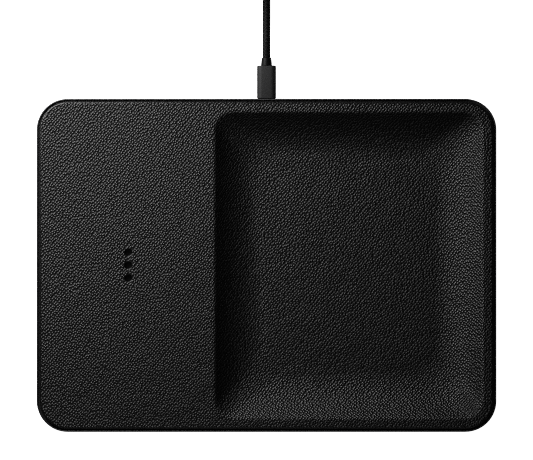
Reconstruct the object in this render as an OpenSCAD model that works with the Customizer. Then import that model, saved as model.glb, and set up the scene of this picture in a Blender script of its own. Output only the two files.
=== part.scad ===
// A leather-covered charging tray: a flat charging deck on the left and a coved dish on the right,
// in a slim frame, with a braided cord that plugs into the rear edge.
// X runs to the right, Y to the rear, Z up. The origin is the middle of the tray's footprint.

/* [Tray] */
// Overall width of the tray, left to right
tray_w = 260; // [240:1:290]
// Overall depth of the tray, front to rear
tray_d = 188.4; // [176:0.2:210]
// Height of the leather top above the surface that the tray stands on
tray_h = 18; // [17:0.5:22]
// Plan radius of the tray's corners
corner_r = 17.5; // [15:0.5:22]

/* [Dish] */
// Width of the flat charging deck beside the dish
charge_deck_w = 100.5; // [94:0.5:110]
// Width of the flat rim that runs round the dish's other three sides
dish_margin = 7.5; // [7:0.5:10]
// Depth of the dish below the deck
dish_depth = 10; // [8:0.5:10]
// Width of the concave walls that lead down to the floor
cove_w = 26; // [24:1:30]
// Rounding over the edge of the dish
crest_r = 1.5; // [1.2:0.1:2]
// Plan radius of the dish's corners at the top edge
crest_corner_r = 10; // [8:0.5:13]
// Plan radius of the dish's corners at the floor
floor_corner_r = 15; // [13:0.5:20]

/* [Leather] */
// Thickness of the leather
leather_t = 1; // [0.8:0.05:1.1]
// Radius of the leather's rolled outer edge
leather_roll = 0.9; // [0.6:0.1:1]
// Diameter of the dimples that mark the middle of the charging deck
dimple_d = 3.7; // [3:0.1:5]
// Distance between the dimples
dimple_pitch = 7.25; // [6:0.25:10]
// Depth of the dimples
dimple_depth = 0.45; // [0.2:0.05:0.6]
// Distance of the dimples from the tray's left edge
mark_x = 51.5; // [48:0.5:55]

/* [Frame and shells] */
// Thickness of the frame's side wall
frame_wall = 1.8; // [1.5:0.1:2.2]
// Width of the frame's lip, seen from above
lip_w = 0.7; // [0.5:0.1:0.9]
// Height of the lip above the ledge inside it
lip_h = 1.6; // [1.2:0.1:1.9]
// Rounding of the lip's outer top edge
lip_round_r = 0.3; // [0.1:0.05:0.4]
// Width of the groove between the lip and the leather
groove_w = 0.85; // [0.6:0.05:1.1]
// Rounding of the frame's lower outer edge
frame_foot_r = 3.2; // [2.5:0.1:3.6]
// Thickness of the plate under the leather
deck_t = 1.6; // [1.4:0.1:2]
// Thickness of the dish's moulded wall
bowl_t = 1.8; // [1.6:0.1:2]
// Thickness of the base pan's floor
pan_t = 1.7; // [1.4:0.1:1.9]
// Thickness of the non-slip pad
pad_t = 1.5; // [1.3:0.1:1.8]
// How far the pad stands below the base pan
pad_proud = 0.9; // [0.7:0.1:1.1]

/* [Charging coils] */
// Outside radius of a coil
coil_r = 24; // [22:0.5:24]
// Number of turns in a coil
coil_turns = 8; // [6:1:9]
// Width of the litz wire
litz_w = 1.5; // [1.2:0.1:1.6]
// Gap between turns
litz_gap = 0.25; // [0.15:0.05:0.3]
// Thickness of a coil
coil_t = 1.3; // [1.1:0.1:1.4]
// Thickness of the ferrite sheet
ferrite_t = 0.8; // [0.6:0.1:1]

/* [Supply plug and port] */
// Height of the port's centre above the standing surface
port_z = 7.2; // [7:0.1:7.6]
// Width of the moulded grip of the plug
grip_w = 10.4; // [9.8:0.1:12]
// Height of the moulded grip of the plug
grip_h = 6.2; // [5.4:0.1:6.6]
// Length of the moulded grip
grip_len = 18.5; // [16:0.5:24]
// Width of the plug's metal shell
plug_w = 8.25; // [8.15:0.05:8.25]
// Height of the plug's metal shell
plug_h = 2.4; // [2.35:0.05:2.4]
// Length of the plug's metal shell
plug_len = 6.65; // [6.4:0.05:6.8]
// Diameter of the braided cord
cord_d = 4; // [3.6:0.1:4.2]

/* [Cord coil] */
// Mean radius of the stored coil
coil_mean_r = 22; // [20:0.5:24]
// Turns side by side in each layer of the stored coil
turns_across = 3; // [2:1:3]
// Distance between the middles of neighbouring turns
turn_pitch = 4.5; // [4.5:0.1:5]

/* [Hidden] */
$fn = 64;
eps = 0.01;

// Heights, from the standing surface up
pan_under = pad_proud;
pan_top = pan_under + pan_t;
deck_top = tray_h - leather_t;
deck_under = deck_top - deck_t;
lip_top = deck_under + lip_h;

// Insets from the tray's outline
leather_in = lip_w + groove_w;
deck_in = leather_in + leather_t;
shelf_in = 5;
shelf_t = 1.4;
gusset_h = 3;
fit_gap = 0.15;
rib_in = shelf_in + fit_gap;
rib_t = 1.5;
rib_h = 2.9;
foot_in = frame_foot_r + 0.8;
web_w = 2;
web_t = 1.7;
web_in = foot_in + web_w;
pan_in = foot_in + fit_gap;
upstand_in = web_in + fit_gap;
upstand_t = 1.45;
upstand_h = 2;
pan_lip_t = 0.9;
pan_lip_gap = 0.1;
pan_upstand_z = pan_top + upstand_h;
frame_web_z = pan_under + pan_lip_t + pan_lip_gap;
web_top = frame_web_z + web_t;
pad_in = upstand_in + upstand_h;

// The dish: its centre, its size at the top edge and the arcs of its wall
dish_x = (charge_deck_w - dish_margin) / 2;
dish_w = tray_w - charge_deck_w - dish_margin;
dish_d = tray_d - 2 * dish_margin;
cove_r = (cove_w * cove_w + dish_depth * dish_depth) / (2 * dish_depth);
cove_zc = tray_h - dish_depth + cove_r;
crest_zc = tray_h - crest_r;
crest_in = cove_w - sqrt(pow(cove_r + crest_r, 2) - pow(cove_zc - crest_zc, 2));
crest_angle = atan((cove_w - crest_in) / (cove_zc - crest_zc));
crest_steps = 3;
cove_steps = 9;
corner_steps = 7;
over_reach = 7;

// Ribs in the pan, and how far from the dish's edges they end
pan_rib_h = 1.6;
pan_rib_w = 1.2;
pan_rib_end_x = 12;
pan_rib_end_y = 22;

// Screws that close the case, and where they go
screw_r = 1.1;
pilot_r = 1.15;
head_r = 2.4;
head_h = 1.4;
head_gap = 0.2;
deck_boss_r = 3;
pan_boss_r = 4;
pan_boss_z = pan_top + 1.8;
boss_cap = 0.5;
screw_shaft = 7;
hole_gap = 0.3;
side_in = 16.5;
dish_screw_in = 6;
beside_dish = 9;
screw_left = -tray_w / 2 + side_in;
screw_mid = -tray_w / 2 + charge_deck_w - beside_dish;
screw_dish_shift = 14;
screw_dish = dish_x + screw_dish_shift;
screw_right = tray_w / 2 - dish_margin - dish_screw_in;
screw_y = tray_d / 2 - side_in;
screw_dish_y = tray_d / 2 - dish_margin - dish_screw_in + 2;
screw_corner_y = tray_d / 2 - dish_margin - dish_screw_in;
case_screw_spots = [
    [screw_left, screw_y], [screw_mid, screw_y], [screw_dish, screw_dish_y],
    [screw_right, screw_corner_y], [screw_right, -screw_corner_y],
    [screw_dish, -screw_dish_y], [screw_mid, -screw_y], [screw_left, -screw_y]
];

// The charging stack hangs under the deck, from the top coil down
charge_x = -tray_w / 2 + mark_x;
stack_gap = 0.1;
deck_gap = 0.2;
top_coil_z = deck_under - deck_gap - coil_t;
low_coil_z = top_coil_z - stack_gap - coil_t;
ferrite_z = low_coil_z - stack_gap - ferrite_t;
carrier_t = 1.3;
carrier_z = ferrite_z - stack_gap - carrier_t;
low_coil_y = coil_r + 1;
carrier_margin = 4;
carrier_w = 2 * (coil_r + carrier_margin);
carrier_d = 2 * (low_coil_y + coil_r + carrier_margin);
carrier_wall = 1.4;
carrier_corner_r = 6;
ferrite_gap = 0.3;
post_out = 8;
post_x = carrier_w / 2 + post_out;
post_y = 34;
post_r = 2.6;
ear_r = 3.6;
deck_rib_y = carrier_d / 2 + 9;
sensor_r = 2;

// The main board under the stack, and the small board behind the port
board_t = 1.2;
board_w = 70;
board_d = 84;
board_corner_r = 3;
board_screw_in = 5;
board_screw_x = board_w / 2 - board_screw_in;
board_screw_y = board_d / 2 - board_screw_in;
standoff_r = 2.8;
pilot_sink = 0.2;
small_screw_r = 0.95;
small_pilot_r = 1;
small_head_r = 1.9;
small_head_h = 1.2;
shell_wall = 0.3;
shell_gap_w = 0.045;
shell_gap_h = 0.08;
shell_out_w = plug_w + 2 * (shell_gap_w + shell_wall);
shell_out_h = plug_h + 2 * (shell_gap_h + shell_wall);
port_board_t = 1;
port_board_z = port_z - shell_out_h / 2 - port_board_t;
port_board_top = port_board_z + port_board_t;
board_top = port_board_top;
board_z = board_top - board_t;
port_setback = 0.4;
port_mouth_y = tray_d / 2 - port_setback;
port_len = 7.4;
port_board_w = 25;
port_board_x = -3;
port_board_rear = tray_d / 2 - frame_wall - 1;
port_board_d = 17;
port_screw_in = 3;
port_screw_x = port_board_w / 2 - port_screw_in;
port_screw_y = port_board_rear - port_board_d + port_screw_in;
port_opening_gap = 0.35;
port_pocket_d = 5.2;
port_pocket_gap = 1;
socket_d = 6;
socket_h = 3.4;
socket_w = 6;
socket_wall = 0.5;
socket_block = 2;

// The parts on the main board: how far right of the coils and how far back they lie, and their sizes
chip_x = -4;
chip_w = 7;
chip_t = 0.9;
switch_x = 12;
switch_count = 4;
switch_pitch = 8;
switch_w = 5;
switch_d = 6;
switch_t = 1.1;
capacitor_x = 22;
capacitor_y = -22;
capacitor_count = 5;
capacitor_pitch = 7;
capacitor_w = 5.7;
capacitor_d = 5;
capacitor_t = 2.2;
inductor_x = -20;
inductor_y = 20;
inductor_w = 10;
inductor_t = 3;
inductor_corner_r = 2;
inductor_eye_r = 3.2;
inductor_eye_depth = 0.4;
can_x = -18;
can_y = -14;
can_w = 18;
can_d = 22;
can_t = 2.2;
can_corner_r = 1;

// The cable between the two boards
cable_r = 1.1;
cable_z = port_board_top + socket_h / 2;
cable_bend = 8;
cable_y = tray_d / 2 - 11.7;
cable_x = charge_x + 20;
port_socket_x = port_board_x - port_board_w / 2 + 1 + socket_w / 2;
board_socket_y = board_d / 2 - socket_d / 2;

// The plug in the port
plug_gap = 0.3;
grip_front = tray_d / 2 + plug_gap;
grip_rear = grip_front + grip_len;
grip_side_r = 2.4;
grip_end_r = 0.9;
relief_len = 5;
relief_front_d = 5.9;
relief_rear_d = 5;
relief_bevel = 0.3;
core_gap = 0.05;
core_wall = 0.3;
slot_w = 7;
slot_h = 0.9;
slot_depth = 5.2;
tongue_w = 6.69;
tongue_t = 0.7;
tongue_tip = 1.3;
tongue_base = 0.8;

// The cord's route from the plug to the stored coil, chosen by hand
cord_route = [
    [0, 118, 7.2], [0, 122, 7.2], [0, 129, 6.4], [0, 137, 4.2], [0, 145, 2.6],
    [0, 153, 2.1], [0, 162, 2.2], [0, 170, 2.8], [0, 176, 3], [0, 180, 3]
];
// The cord's route from the top of the stored coil to the supply plug, chosen by hand
tail_route = [
    [0, 188, 16.5], [0, 192, 16.5], [0, 200, 14.4], [2, 208, 11.4], [8, 214, 8.4],
    [16, 216, 5.6], [24, 214, 3.5], [30, 208, 2.8], [32, 200, 3.8], [32, 196, 3.8]
];
cord_sides = 8;
cord_steps = 2;
coil_entry = [0, 184, 3];
lead = 4;
coil_layers = 4;
layer_rise = 4.5;
loop_rings = 24;
loop_sides = 6;
coil_out_r = coil_mean_r + turns_across * turn_pitch / 2;
coil_centre = [coil_entry[0] - coil_out_r, coil_entry[1], 0];
coil_loops = coil_layers * turns_across;

// The tie round the stored coil
tie_w = 6;
tie_t = 0.8;
tie_inside_r = coil_mean_r - 7.2;
tie_outside_r = coil_mean_r + 6.9;
tie_low = coil_entry[2] - cord_d / 2 - 0.1;
tie_high = coil_entry[2] + 3 * layer_rise + cord_d / 2 + 0.1;
tie_corner_r = 1.6;

// The plug on the cord's far end
far_x = 32;
far_y = 196;
far_z = 3.8;
far_relief_len = 8;
far_relief_d = 6;
far_grip_w = 15.8;
far_grip_h = 7.4;
far_grip_len = 19;
far_grip_side_r = 2.2;
far_grip_end_r = 1.6;
far_shell_w = 12;
far_shell_h = 4.5;
far_shell_len = 12;
far_wall = 0.35;
far_window = 2.4;
far_tongue_t = 1.9;
far_tongue_w = 11.1;

// Colours, as the photograph shows them
leather_black = [0.09, 0.09, 0.09];
frame_black = [0.05, 0.05, 0.05];
shell_grey = [0.16, 0.16, 0.17];
pad_grey = [0.12, 0.12, 0.12];
steel = [0.72, 0.73, 0.75];
copper = [0.72, 0.4, 0.2];
ferrite_grey = [0.2, 0.19, 0.2];
board_green = [0.05, 0.25, 0.12];
capacitor_tan = [0.55, 0.42, 0.3];
part_black = [0.07, 0.07, 0.08];
plastic_white = [0.85, 0.85, 0.82];
plug_black = [0.08, 0.08, 0.08];

// A rectangle with round corners
module rounded_rect(w, d, r) {
    square([w - 2 * r, d], center = true);
    square([w, d - 2 * r], center = true);
    for (x = [-1, 1], y = [-1, 1])
        translate([x * (w / 2 - r), y * (d / 2 - r)])
            circle(r);
}

// The tray's outline, drawn in by a distance
module tray_outline(inset) {
    rounded_rect(tray_w - 2 * inset, tray_d - 2 * inset, corner_r - inset);
}

// A slab with the tray's outline, drawn in by a distance
module tray_slab(inset, low, high) {
    translate([0, 0, low])
        linear_extrude(high - low)
            tray_outline(inset);
}

// Runs a section round the tray's outline. The section's x is the distance in from the outline.
module round_the_tray(inset) {
    w = tray_w - 2 * inset;
    d = tray_d - 2 * inset;
    r = corner_r - inset;
    for (q = [0:3]) {
        cx = (q == 0 || q == 3) ? 1 : -1;
        cy = q < 2 ? 1 : -1;
        translate([cx * (w / 2 - r), cy * (d / 2 - r), 0])
            rotate(q * 90)
                rotate_extrude(angle = 90)
                    translate([r, 0])
                        mirror([1, 0])
                            children();
    }
    for (q = [0:3]) {
        run = q % 2 == 0 ? d - 2 * r : w - 2 * r;
        out = q % 2 == 0 ? w / 2 : d / 2;
        rotate(q * 90)
            translate([out, run / 2, 0])
                rotate([90, 0, 0])
                    linear_extrude(run)
                        mirror([1, 0])
                            children();
    }
}

// Extrudes an outline drawn in X and Z along Y, from a start to an end
module along_y(start, end) {
    translate([0, end, 0])
        rotate([90, 0, 0])
            linear_extrude(end - start)
                children();
}

// Joins rings of points into one closed solid
module loft(rings) {
    n = len(rings[0]);
    last = len(rings) - 1;
    sides = [
        for (i = [0:last - 1], j = [0:n - 1])
            let (a = i * n + j, b = i * n + (j + 1) % n)
                each [[a, b, b + n], [a, b + n, a + n]]
    ];
    caps = [[for (j = [n - 1:-1:0]) j], [for (j = [0:n - 1]) last * n + j]];
    polyhedron([for (ring = rings) each ring], concat(sides, caps));
}

// The dish's plan radius at a distance in from its top edge
function dish_corner(inset) = inset < 0
    ? crest_corner_r - inset
    : crest_corner_r + (floor_corner_r - crest_corner_r) * inset / cove_w;

// One level of the dish: a rounded rectangle drawn in by a distance
function dish_ring(inset, z, r) = [
    for (q = [0:3], k = [0:corner_steps])
        let (
            turn = 90 * (q + k / corner_steps),
            sx = (q == 0 || q == 3) ? 1 : -1,
            sy = q < 2 ? 1 : -1
        )
            [
                dish_x + sx * (dish_w / 2 - inset - r) + r * cos(turn),
                sy * (dish_d / 2 - inset - r) + r * sin(turn),
                z
            ]
];

// A level on the rounded edge, and one on the cove, for a surface that lies under the leather's
function crest_level(a, under) = let (r = dish_corner(crest_in + crest_r * sin(a)) + under * sin(a))
    dish_ring(crest_in + (crest_r - under) * sin(a), crest_zc + (crest_r - under) * cos(a), r);
function cove_level(a, under) = let (r = dish_corner(cove_w - cove_r * sin(a)) + under * sin(a))
    dish_ring(cove_w - (cove_r + under) * sin(a), cove_zc - (cove_r + under) * cos(a), r);

// The level above the deck that carries the edge's first facet on, so that a cut runs clean through
function over_level(under) = let (
    first = crest_level(0, under),
    next = crest_level(crest_angle / crest_steps, under),
    reach = over_reach * crest_r / (crest_r - under)
)
    [for (i = [0:len(first) - 1]) first[i] + (first[i] - next[i]) * reach];

// The space in the dish down to a surface with a rounded edge
module dish_space(under) {
    loft(concat(
        [over_level(under)],
        [for (k = [0:crest_steps]) crest_level(crest_angle * k / crest_steps, under)],
        [for (k = [1:cove_steps]) cove_level(crest_angle * (1 - k / cove_steps), under)]
    ));
}

// The outside of the moulded bowl, which ends inside the deck's plate
module bowl_outside() {
    under = leather_t + bowl_t;
    top_angle = acos((cove_zc - (deck_under + deck_top) / 2) / (cove_r + under));
    loft([for (k = [0:cove_steps]) cove_level(top_angle * (1 - k / cove_steps), under)]);
}

// Shell sections
module leather_section() {
    square([leather_t, deck_top - deck_under + leather_t - leather_roll]);
    translate([leather_roll, deck_top - deck_under + leather_t - leather_roll])
        intersection() {
            circle(leather_roll);
            translate([-leather_roll, 0])
                square(leather_roll);
        }
    translate([leather_roll, deck_top - deck_under])
        square([shelf_in - leather_roll, leather_t]);
}

module lip_section() {
    translate([0, deck_under - eps])
        square([lip_w, lip_h - lip_round_r + eps]);
    translate([lip_round_r, deck_under])
        square([lip_w - lip_round_r, lip_h]);
    translate([lip_round_r, lip_top - lip_round_r])
        circle(lip_round_r);
}

module frame_section() {
    difference() {
        union() {
            translate([0, pan_under])
                square([frame_wall, deck_under - pan_under]);
            lip_section();
            polygon([
                [frame_wall - eps, deck_under], [shelf_in, deck_under],
                [shelf_in, deck_under - shelf_t], [frame_wall - eps, deck_under - gusset_h]
            ]);
            polygon([
                [frame_wall - eps, pan_under], [foot_in, pan_under], [foot_in, frame_web_z],
                [web_in, frame_web_z], [web_in, web_top], [frame_wall - eps, web_top + web_w]
            ]);
        }
        translate([-eps, pan_under - eps])
            difference() {
                square(frame_foot_r + eps);
                translate([frame_foot_r + eps, frame_foot_r + eps])
                    circle(frame_foot_r);
            }
    }
}

// The leather, one skin over the deck, down its edge and through the dish, with the centre marks
module leather_cover() {
    color(leather_black)
        difference() {
            union() {
                translate([0, 0, deck_under])
                    round_the_tray(leather_in)
                        leather_section();
                tray_slab(leather_in + shelf_in - eps, deck_top, tray_h);
                dish_space(leather_t);
            }
            dish_space(0);
            for (k = [-1:1])
                translate([charge_x, k * dimple_pitch, tray_h - dimple_depth])
                    cylinder(h = dimple_depth + 1, d = dimple_d);
        }
}

// Ribs under the charging deck: one beside each pair of the carrier's posts, and one at each end
module deck_ribs() {
    for (x = [-1, 1])
        translate([charge_x + x * post_x - rib_t / 2, -deck_rib_y, deck_under - rib_h])
            cube([rib_t, 2 * deck_rib_y, rib_h + eps]);
    for (y = [-1, 1])
        translate([-tray_w / 2 + rib_in, y * deck_rib_y - rib_t / 2, deck_under - rib_h])
            cube([charge_deck_w - rib_in, rib_t, rib_h + eps]);
}

// The moulded plate and bowl that carry the leather, with posts for the screws and stiffening ribs
module deck_shell() {
    color(shell_grey)
        difference() {
            union() {
                tray_slab(deck_in, deck_under, deck_top);
                bowl_outside();
                difference() {
                    tray_slab(rib_in, deck_under - rib_h, deck_under + eps);
                    tray_slab(rib_in + rib_t, deck_under - rib_h - 1, deck_under + 2 * eps);
                }
                deck_ribs();
                for (p = case_screw_spots)
                    translate([p[0], p[1], pan_boss_z])
                        cylinder(h = deck_top - boss_cap - pan_boss_z, r = deck_boss_r);
                for (x = [-1, 1], y = [-1, 1])
                    translate([charge_x + x * post_x, y * post_y, carrier_z + carrier_t])
                        cylinder(h = deck_under - carrier_z - carrier_t + eps, r = post_r);
            }
            dish_space(leather_t);
            for (p = case_screw_spots)
                translate([p[0], p[1], pan_boss_z - eps])
                    cylinder(h = screw_shaft - 1, r = pilot_r);
            for (x = [-1, 1], y = [-1, 1])
                translate([charge_x + x * post_x, y * post_y, carrier_z + carrier_t - eps])
                    cylinder(h = deck_under - carrier_z - carrier_t, r = pilot_r);
        }
}

// The outer frame, with the lip, the shelf that carries the deck and the opening for the plug
module rim_frame() {
    color(frame_black)
        difference() {
            round_the_tray(0)
                frame_section();
            translate([0, 0, port_z])
                along_y(tray_d / 2 - frame_wall - port_pocket_d, tray_d / 2 + 1)
                    rounded_rect(
                        shell_out_w + 2 * port_opening_gap,
                        shell_out_h + 2 * port_opening_gap,
                        shell_out_h / 2 + port_opening_gap - eps
                    );
            translate([
                port_board_x - port_board_w / 2 - port_pocket_gap,
                tray_d / 2 - frame_wall - port_pocket_d,
                port_board_z - head_gap
            ])
                cube([port_board_w + 2 * port_pocket_gap, port_pocket_d, port_z]);
        }
}

// The base pan: a floor with a rebated edge, an upstand, ribs under the dish and standoffs
module base_pan() {
    color(shell_grey)
        difference() {
            union() {
                tray_slab(pan_in, pan_under, pan_under + pan_lip_t);
                tray_slab(upstand_in, pan_under, pan_top);
                difference() {
                    tray_slab(upstand_in, pan_top - eps, pan_upstand_z);
                    tray_slab(upstand_in + upstand_t, pan_top - 2 * eps, pan_upstand_z + 1);
                }
                pan_ribs();
                for (p = case_screw_spots)
                    translate([p[0], p[1], pan_top - eps])
                        cylinder(h = pan_boss_z - pan_top + eps, r = pan_boss_r);
                for (x = [-1, 1], y = [-1, 1])
                    translate([charge_x + x * board_screw_x, y * board_screw_y, pan_top - eps])
                        cylinder(h = board_z - pan_top + eps, r = standoff_r);
                for (x = [-1, 1])
                    translate([port_board_x + x * port_screw_x, port_screw_y, pan_top - eps])
                        cylinder(h = port_board_z - pan_top + eps, r = standoff_r);
            }
            translate([0, 0, pan_under - eps])
                linear_extrude(pad_t - pad_proud + eps)
                    tray_outline(pad_in - fit_gap);
            for (p = case_screw_spots)
                translate([p[0], p[1], pan_under]) {
                    cylinder(h = pan_boss_z, r = screw_r + hole_gap);
                    cylinder(h = pad_t - pad_proud + head_gap + head_h, r = head_r + head_gap);
                }
            for (x = [-1, 1], y = [-1, 1])
                translate([charge_x + x * board_screw_x, y * board_screw_y, pan_top - pilot_sink])
                    cylinder(h = board_z, r = small_pilot_r);
            for (x = [-1, 1])
                translate([port_board_x + x * port_screw_x, port_screw_y, pan_top - pilot_sink])
                    cylinder(h = board_z, r = small_pilot_r);
        }
}

// Crossed ribs that stiffen the pan under the dish
module pan_ribs() {
    reach_x = dish_w / 2 - pan_rib_end_x;
    reach_y = dish_d / 2 - pan_rib_end_y;
    for (k = [-2:2]) {
        translate([dish_x - reach_x, k * reach_y / 2 - pan_rib_w / 2, pan_top - eps])
            cube([2 * reach_x, pan_rib_w, pan_rib_h]);
        translate([dish_x + k * reach_x / 2 - pan_rib_w / 2, -reach_y, pan_top - eps])
            cube([pan_rib_w, 2 * reach_y, pan_rib_h]);
    }
}

// The non-slip pad that the tray stands on
module grip_pad() {
    color(pad_grey)
        tray_slab(pad_in, 0, pad_t);
}

// A pan-head screw that points up
module screw(shaft_r, shaft, cap_r, cap_h) {
    cylinder(h = cap_h, r = cap_r);
    translate([0, 0, cap_h - eps])
        cylinder(h = shaft, r = shaft_r);
}

module case_screws() {
    color(steel)
        for (p = case_screw_spots)
            translate([p[0], p[1], pad_t + head_gap])
                screw(screw_r, screw_shaft, head_r, head_h);
}

// The outline of the space inside the carrier's wall, drawn in by a gap
module carrier_inside(gap) {
    in = carrier_wall + gap;
    rounded_rect(carrier_w - 2 * in, carrier_d - 2 * in, carrier_corner_r - in);
}

// The carrier that holds the coils and the ferrite up against the deck
module coil_carrier() {
    color(part_black)
        translate([charge_x, 0, carrier_z])
            difference() {
                union() {
                    linear_extrude(carrier_t)
                        rounded_rect(carrier_w, carrier_d, carrier_corner_r);
                    translate([0, 0, carrier_t - eps])
                        linear_extrude(deck_under - carrier_z - carrier_t - deck_gap)
                            difference() {
                                rounded_rect(carrier_w, carrier_d, carrier_corner_r);
                                carrier_inside(0);
                            }
                    for (x = [-1, 1], y = [-1, 1]) {
                        translate([x * post_x, y * post_y, 0])
                            cylinder(h = carrier_t, r = ear_r);
                        translate([x * (post_x + carrier_w / 2 - 1) / 2, y * post_y, carrier_t / 2])
                            cube([post_x - carrier_w / 2 + 1, 2 * ear_r - 1, carrier_t], center = true);
                    }
                }
                for (x = [-1, 1], y = [-1, 1])
                    translate([x * post_x, y * post_y, -eps])
                        cylinder(h = carrier_t + 1, r = screw_r + head_gap);
            }
}

module carrier_screws() {
    color(steel)
        for (x = [-1, 1], y = [-1, 1])
            translate([charge_x + x * post_x, y * post_y, carrier_z - small_head_h])
                screw(screw_r, deck_under - carrier_z - 1, small_head_r, small_head_h);
}

// A flat coil of litz wire: half turns about two centres in turn, which meet end to end
module flat_coil() {
    step = litz_w + litz_gap;
    for (k = [0:2 * coil_turns - 1])
        translate([(k % 2 == 0 ? 1 : -1) * step / 4, 0, 0])
            rotate(k % 2 * 180)
                rotate_extrude(angle = 180)
                    translate([coil_r - step / 4 - litz_w - k * step / 2, 0])
                        square([litz_w, coil_t]);
}

module centre_coil() {
    color(copper)
        translate([charge_x, 0, top_coil_z])
            flat_coil();
}

module front_coil() {
    color(copper)
        translate([charge_x, -low_coil_y, low_coil_z])
            flat_coil();
}

module rear_coil() {
    color(copper)
        translate([charge_x, low_coil_y, low_coil_z])
            flat_coil();
}

module ferrite_sheet() {
    color(ferrite_grey)
        translate([charge_x, 0, ferrite_z])
            linear_extrude(ferrite_t)
                carrier_inside(ferrite_gap);
}

// The bead that feels the temperature in the eye of the centre coil
module coil_sensor() {
    color(part_black)
        translate([charge_x, 0, low_coil_z + coil_t])
            cylinder(h = coil_t, r = sensor_r);
}

module main_board() {
    color(board_green)
        translate([charge_x, 0, board_z])
            linear_extrude(board_t)
                difference() {
                    rounded_rect(board_w, board_d, board_corner_r);
                    for (x = [-1, 1], y = [-1, 1])
                        translate([x * board_screw_x, y * board_screw_y])
                            circle(small_screw_r + 0.2);
                }
}

module board_screws() {
    color(steel)
        for (x = [-1, 1], y = [-1, 1])
            translate([charge_x + x * board_screw_x, y * board_screw_y, board_top + small_head_h])
                mirror([0, 0, 1])
                    screw(small_screw_r, board_t + 2, small_head_r, small_head_h);
}

// A row of like parts on the main board
module board_row(x, y, count, pitch, size) {
    for (k = [0:count - 1])
        translate([charge_x + x - size[0] / 2, y + k * pitch - size[1] / 2, board_top])
            cube(size);
}

module controller_chip() {
    color(part_black)
        board_row(chip_x, 0, 1, 0, [chip_w, chip_w, chip_t]);
}

module power_switches() {
    color(part_black)
        board_row(
            switch_x, (1 - switch_count) * switch_pitch, switch_count, switch_pitch,
            [switch_w, switch_d, switch_t]
        );
}

module tuning_capacitors() {
    color(capacitor_tan)
        board_row(
            capacitor_x, capacitor_y, capacitor_count, capacitor_pitch,
            [capacitor_w, capacitor_d, capacitor_t]
        );
}

module supply_inductor() {
    color(ferrite_grey)
        translate([charge_x + inductor_x, inductor_y, board_top])
            difference() {
                linear_extrude(inductor_t)
                    rounded_rect(inductor_w, inductor_w, inductor_corner_r);
                translate([0, 0, inductor_t - inductor_eye_depth])
                    cylinder(h = inductor_t, r = inductor_eye_r);
            }
}

module shield_can() {
    color(steel)
        translate([charge_x + can_x, can_y, board_top])
            difference() {
                linear_extrude(can_t)
                    rounded_rect(can_w, can_d, can_corner_r);
                translate([0, 0, -eps])
                    linear_extrude(can_t - shell_wall)
                        rounded_rect(
                            can_w - 2 * shell_wall, can_d - 2 * shell_wall, can_corner_r - shell_wall
                        );
            }
}

// A small cable socket, open on the side that the cable enters
module cable_socket() {
    difference() {
        translate([-socket_w / 2, -socket_d / 2, 0])
            cube([socket_w, socket_d, socket_h]);
        translate([-socket_w / 2 + socket_wall, -socket_d / 2 + socket_block, socket_wall])
            cube([socket_w - 2 * socket_wall, socket_d, socket_h - 2 * socket_wall]);
    }
}

module board_socket() {
    color(plastic_white)
        translate([cable_x, board_socket_y, board_top])
            cable_socket();
}

module port_socket() {
    color(plastic_white)
        translate([port_socket_x, cable_y, port_board_top])
            rotate(90)
                cable_socket();
}

module port_board() {
    color(board_green)
        translate([0, 0, port_board_z])
            linear_extrude(port_board_t)
                difference() {
                    translate([port_board_x - port_board_w / 2, port_board_rear - port_board_d])
                        square([port_board_w, port_board_d]);
                    for (x = [-1, 1])
                        translate([port_board_x + x * port_screw_x, port_screw_y])
                            circle(small_screw_r + 0.2);
                }
}

module port_screws() {
    color(steel)
        for (x = [-1, 1])
            translate([port_board_x + x * port_screw_x, port_screw_y, port_board_top + small_head_h])
                mirror([0, 0, 1])
                    screw(small_screw_r, port_board_t + 1.6, small_head_r, small_head_h);
}

// The outline of the port's inside, a little larger than the plug's shell
module port_bore() {
    h = plug_h + 2 * shell_gap_h;
    rounded_rect(plug_w + 2 * shell_gap_w, h, h / 2 - eps);
}

// The metal shell of the port, open towards the rear
module port_shell() {
    color(steel)
        translate([0, 0, port_z])
            difference() {
                along_y(port_mouth_y - port_len, port_mouth_y)
                    rounded_rect(shell_out_w, shell_out_h, shell_out_h / 2 - eps);
                along_y(port_mouth_y - port_len - 1, port_mouth_y + 1)
                    port_bore();
            }
}

// The port's contact tongue on its base block
module port_tongue() {
    color(part_black)
        translate([0, 0, port_z]) {
            along_y(port_mouth_y - port_len, port_mouth_y - port_len + tongue_base)
                port_bore();
            along_y(port_mouth_y - port_len + tongue_base - eps, port_mouth_y - tongue_tip)
                square([tongue_w, tongue_t], center = true);
        }
}

// The cable from the port's board to the main board
module link_cable() {
    corner = cable_x + cable_bend;
    color(part_black)
        translate([0, 0, cable_z]) {
            translate([corner, cable_y, 0])
                rotate([0, 90, 0])
                    cylinder(h = port_socket_x - 1 - corner, r = cable_r);
            translate([corner, cable_y - cable_bend, 0])
                rotate(90)
                    rotate_extrude(angle = 90)
                        translate([cable_bend, 0])
                            circle(cable_r);
            translate([cable_x, cable_y - cable_bend, 0])
                rotate([90, 0, 0])
                    cylinder(h = cable_y - cable_bend - board_socket_y - 1, r = cable_r);
        }
}

// The moulded grip of the plug: a flat top between round sides, with small round corners at the end
module plug_grip() {
    color(plug_black)
        intersection() {
            translate([0, 0, port_z])
                along_y(grip_front, grip_rear)
                    rounded_rect(grip_w, grip_h, grip_side_r);
            translate([0, (grip_front + grip_rear) / 2, port_z - grip_h])
                linear_extrude(2 * grip_h)
                    rounded_rect(grip_w + eps, grip_len, grip_end_r);
        }
}

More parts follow.
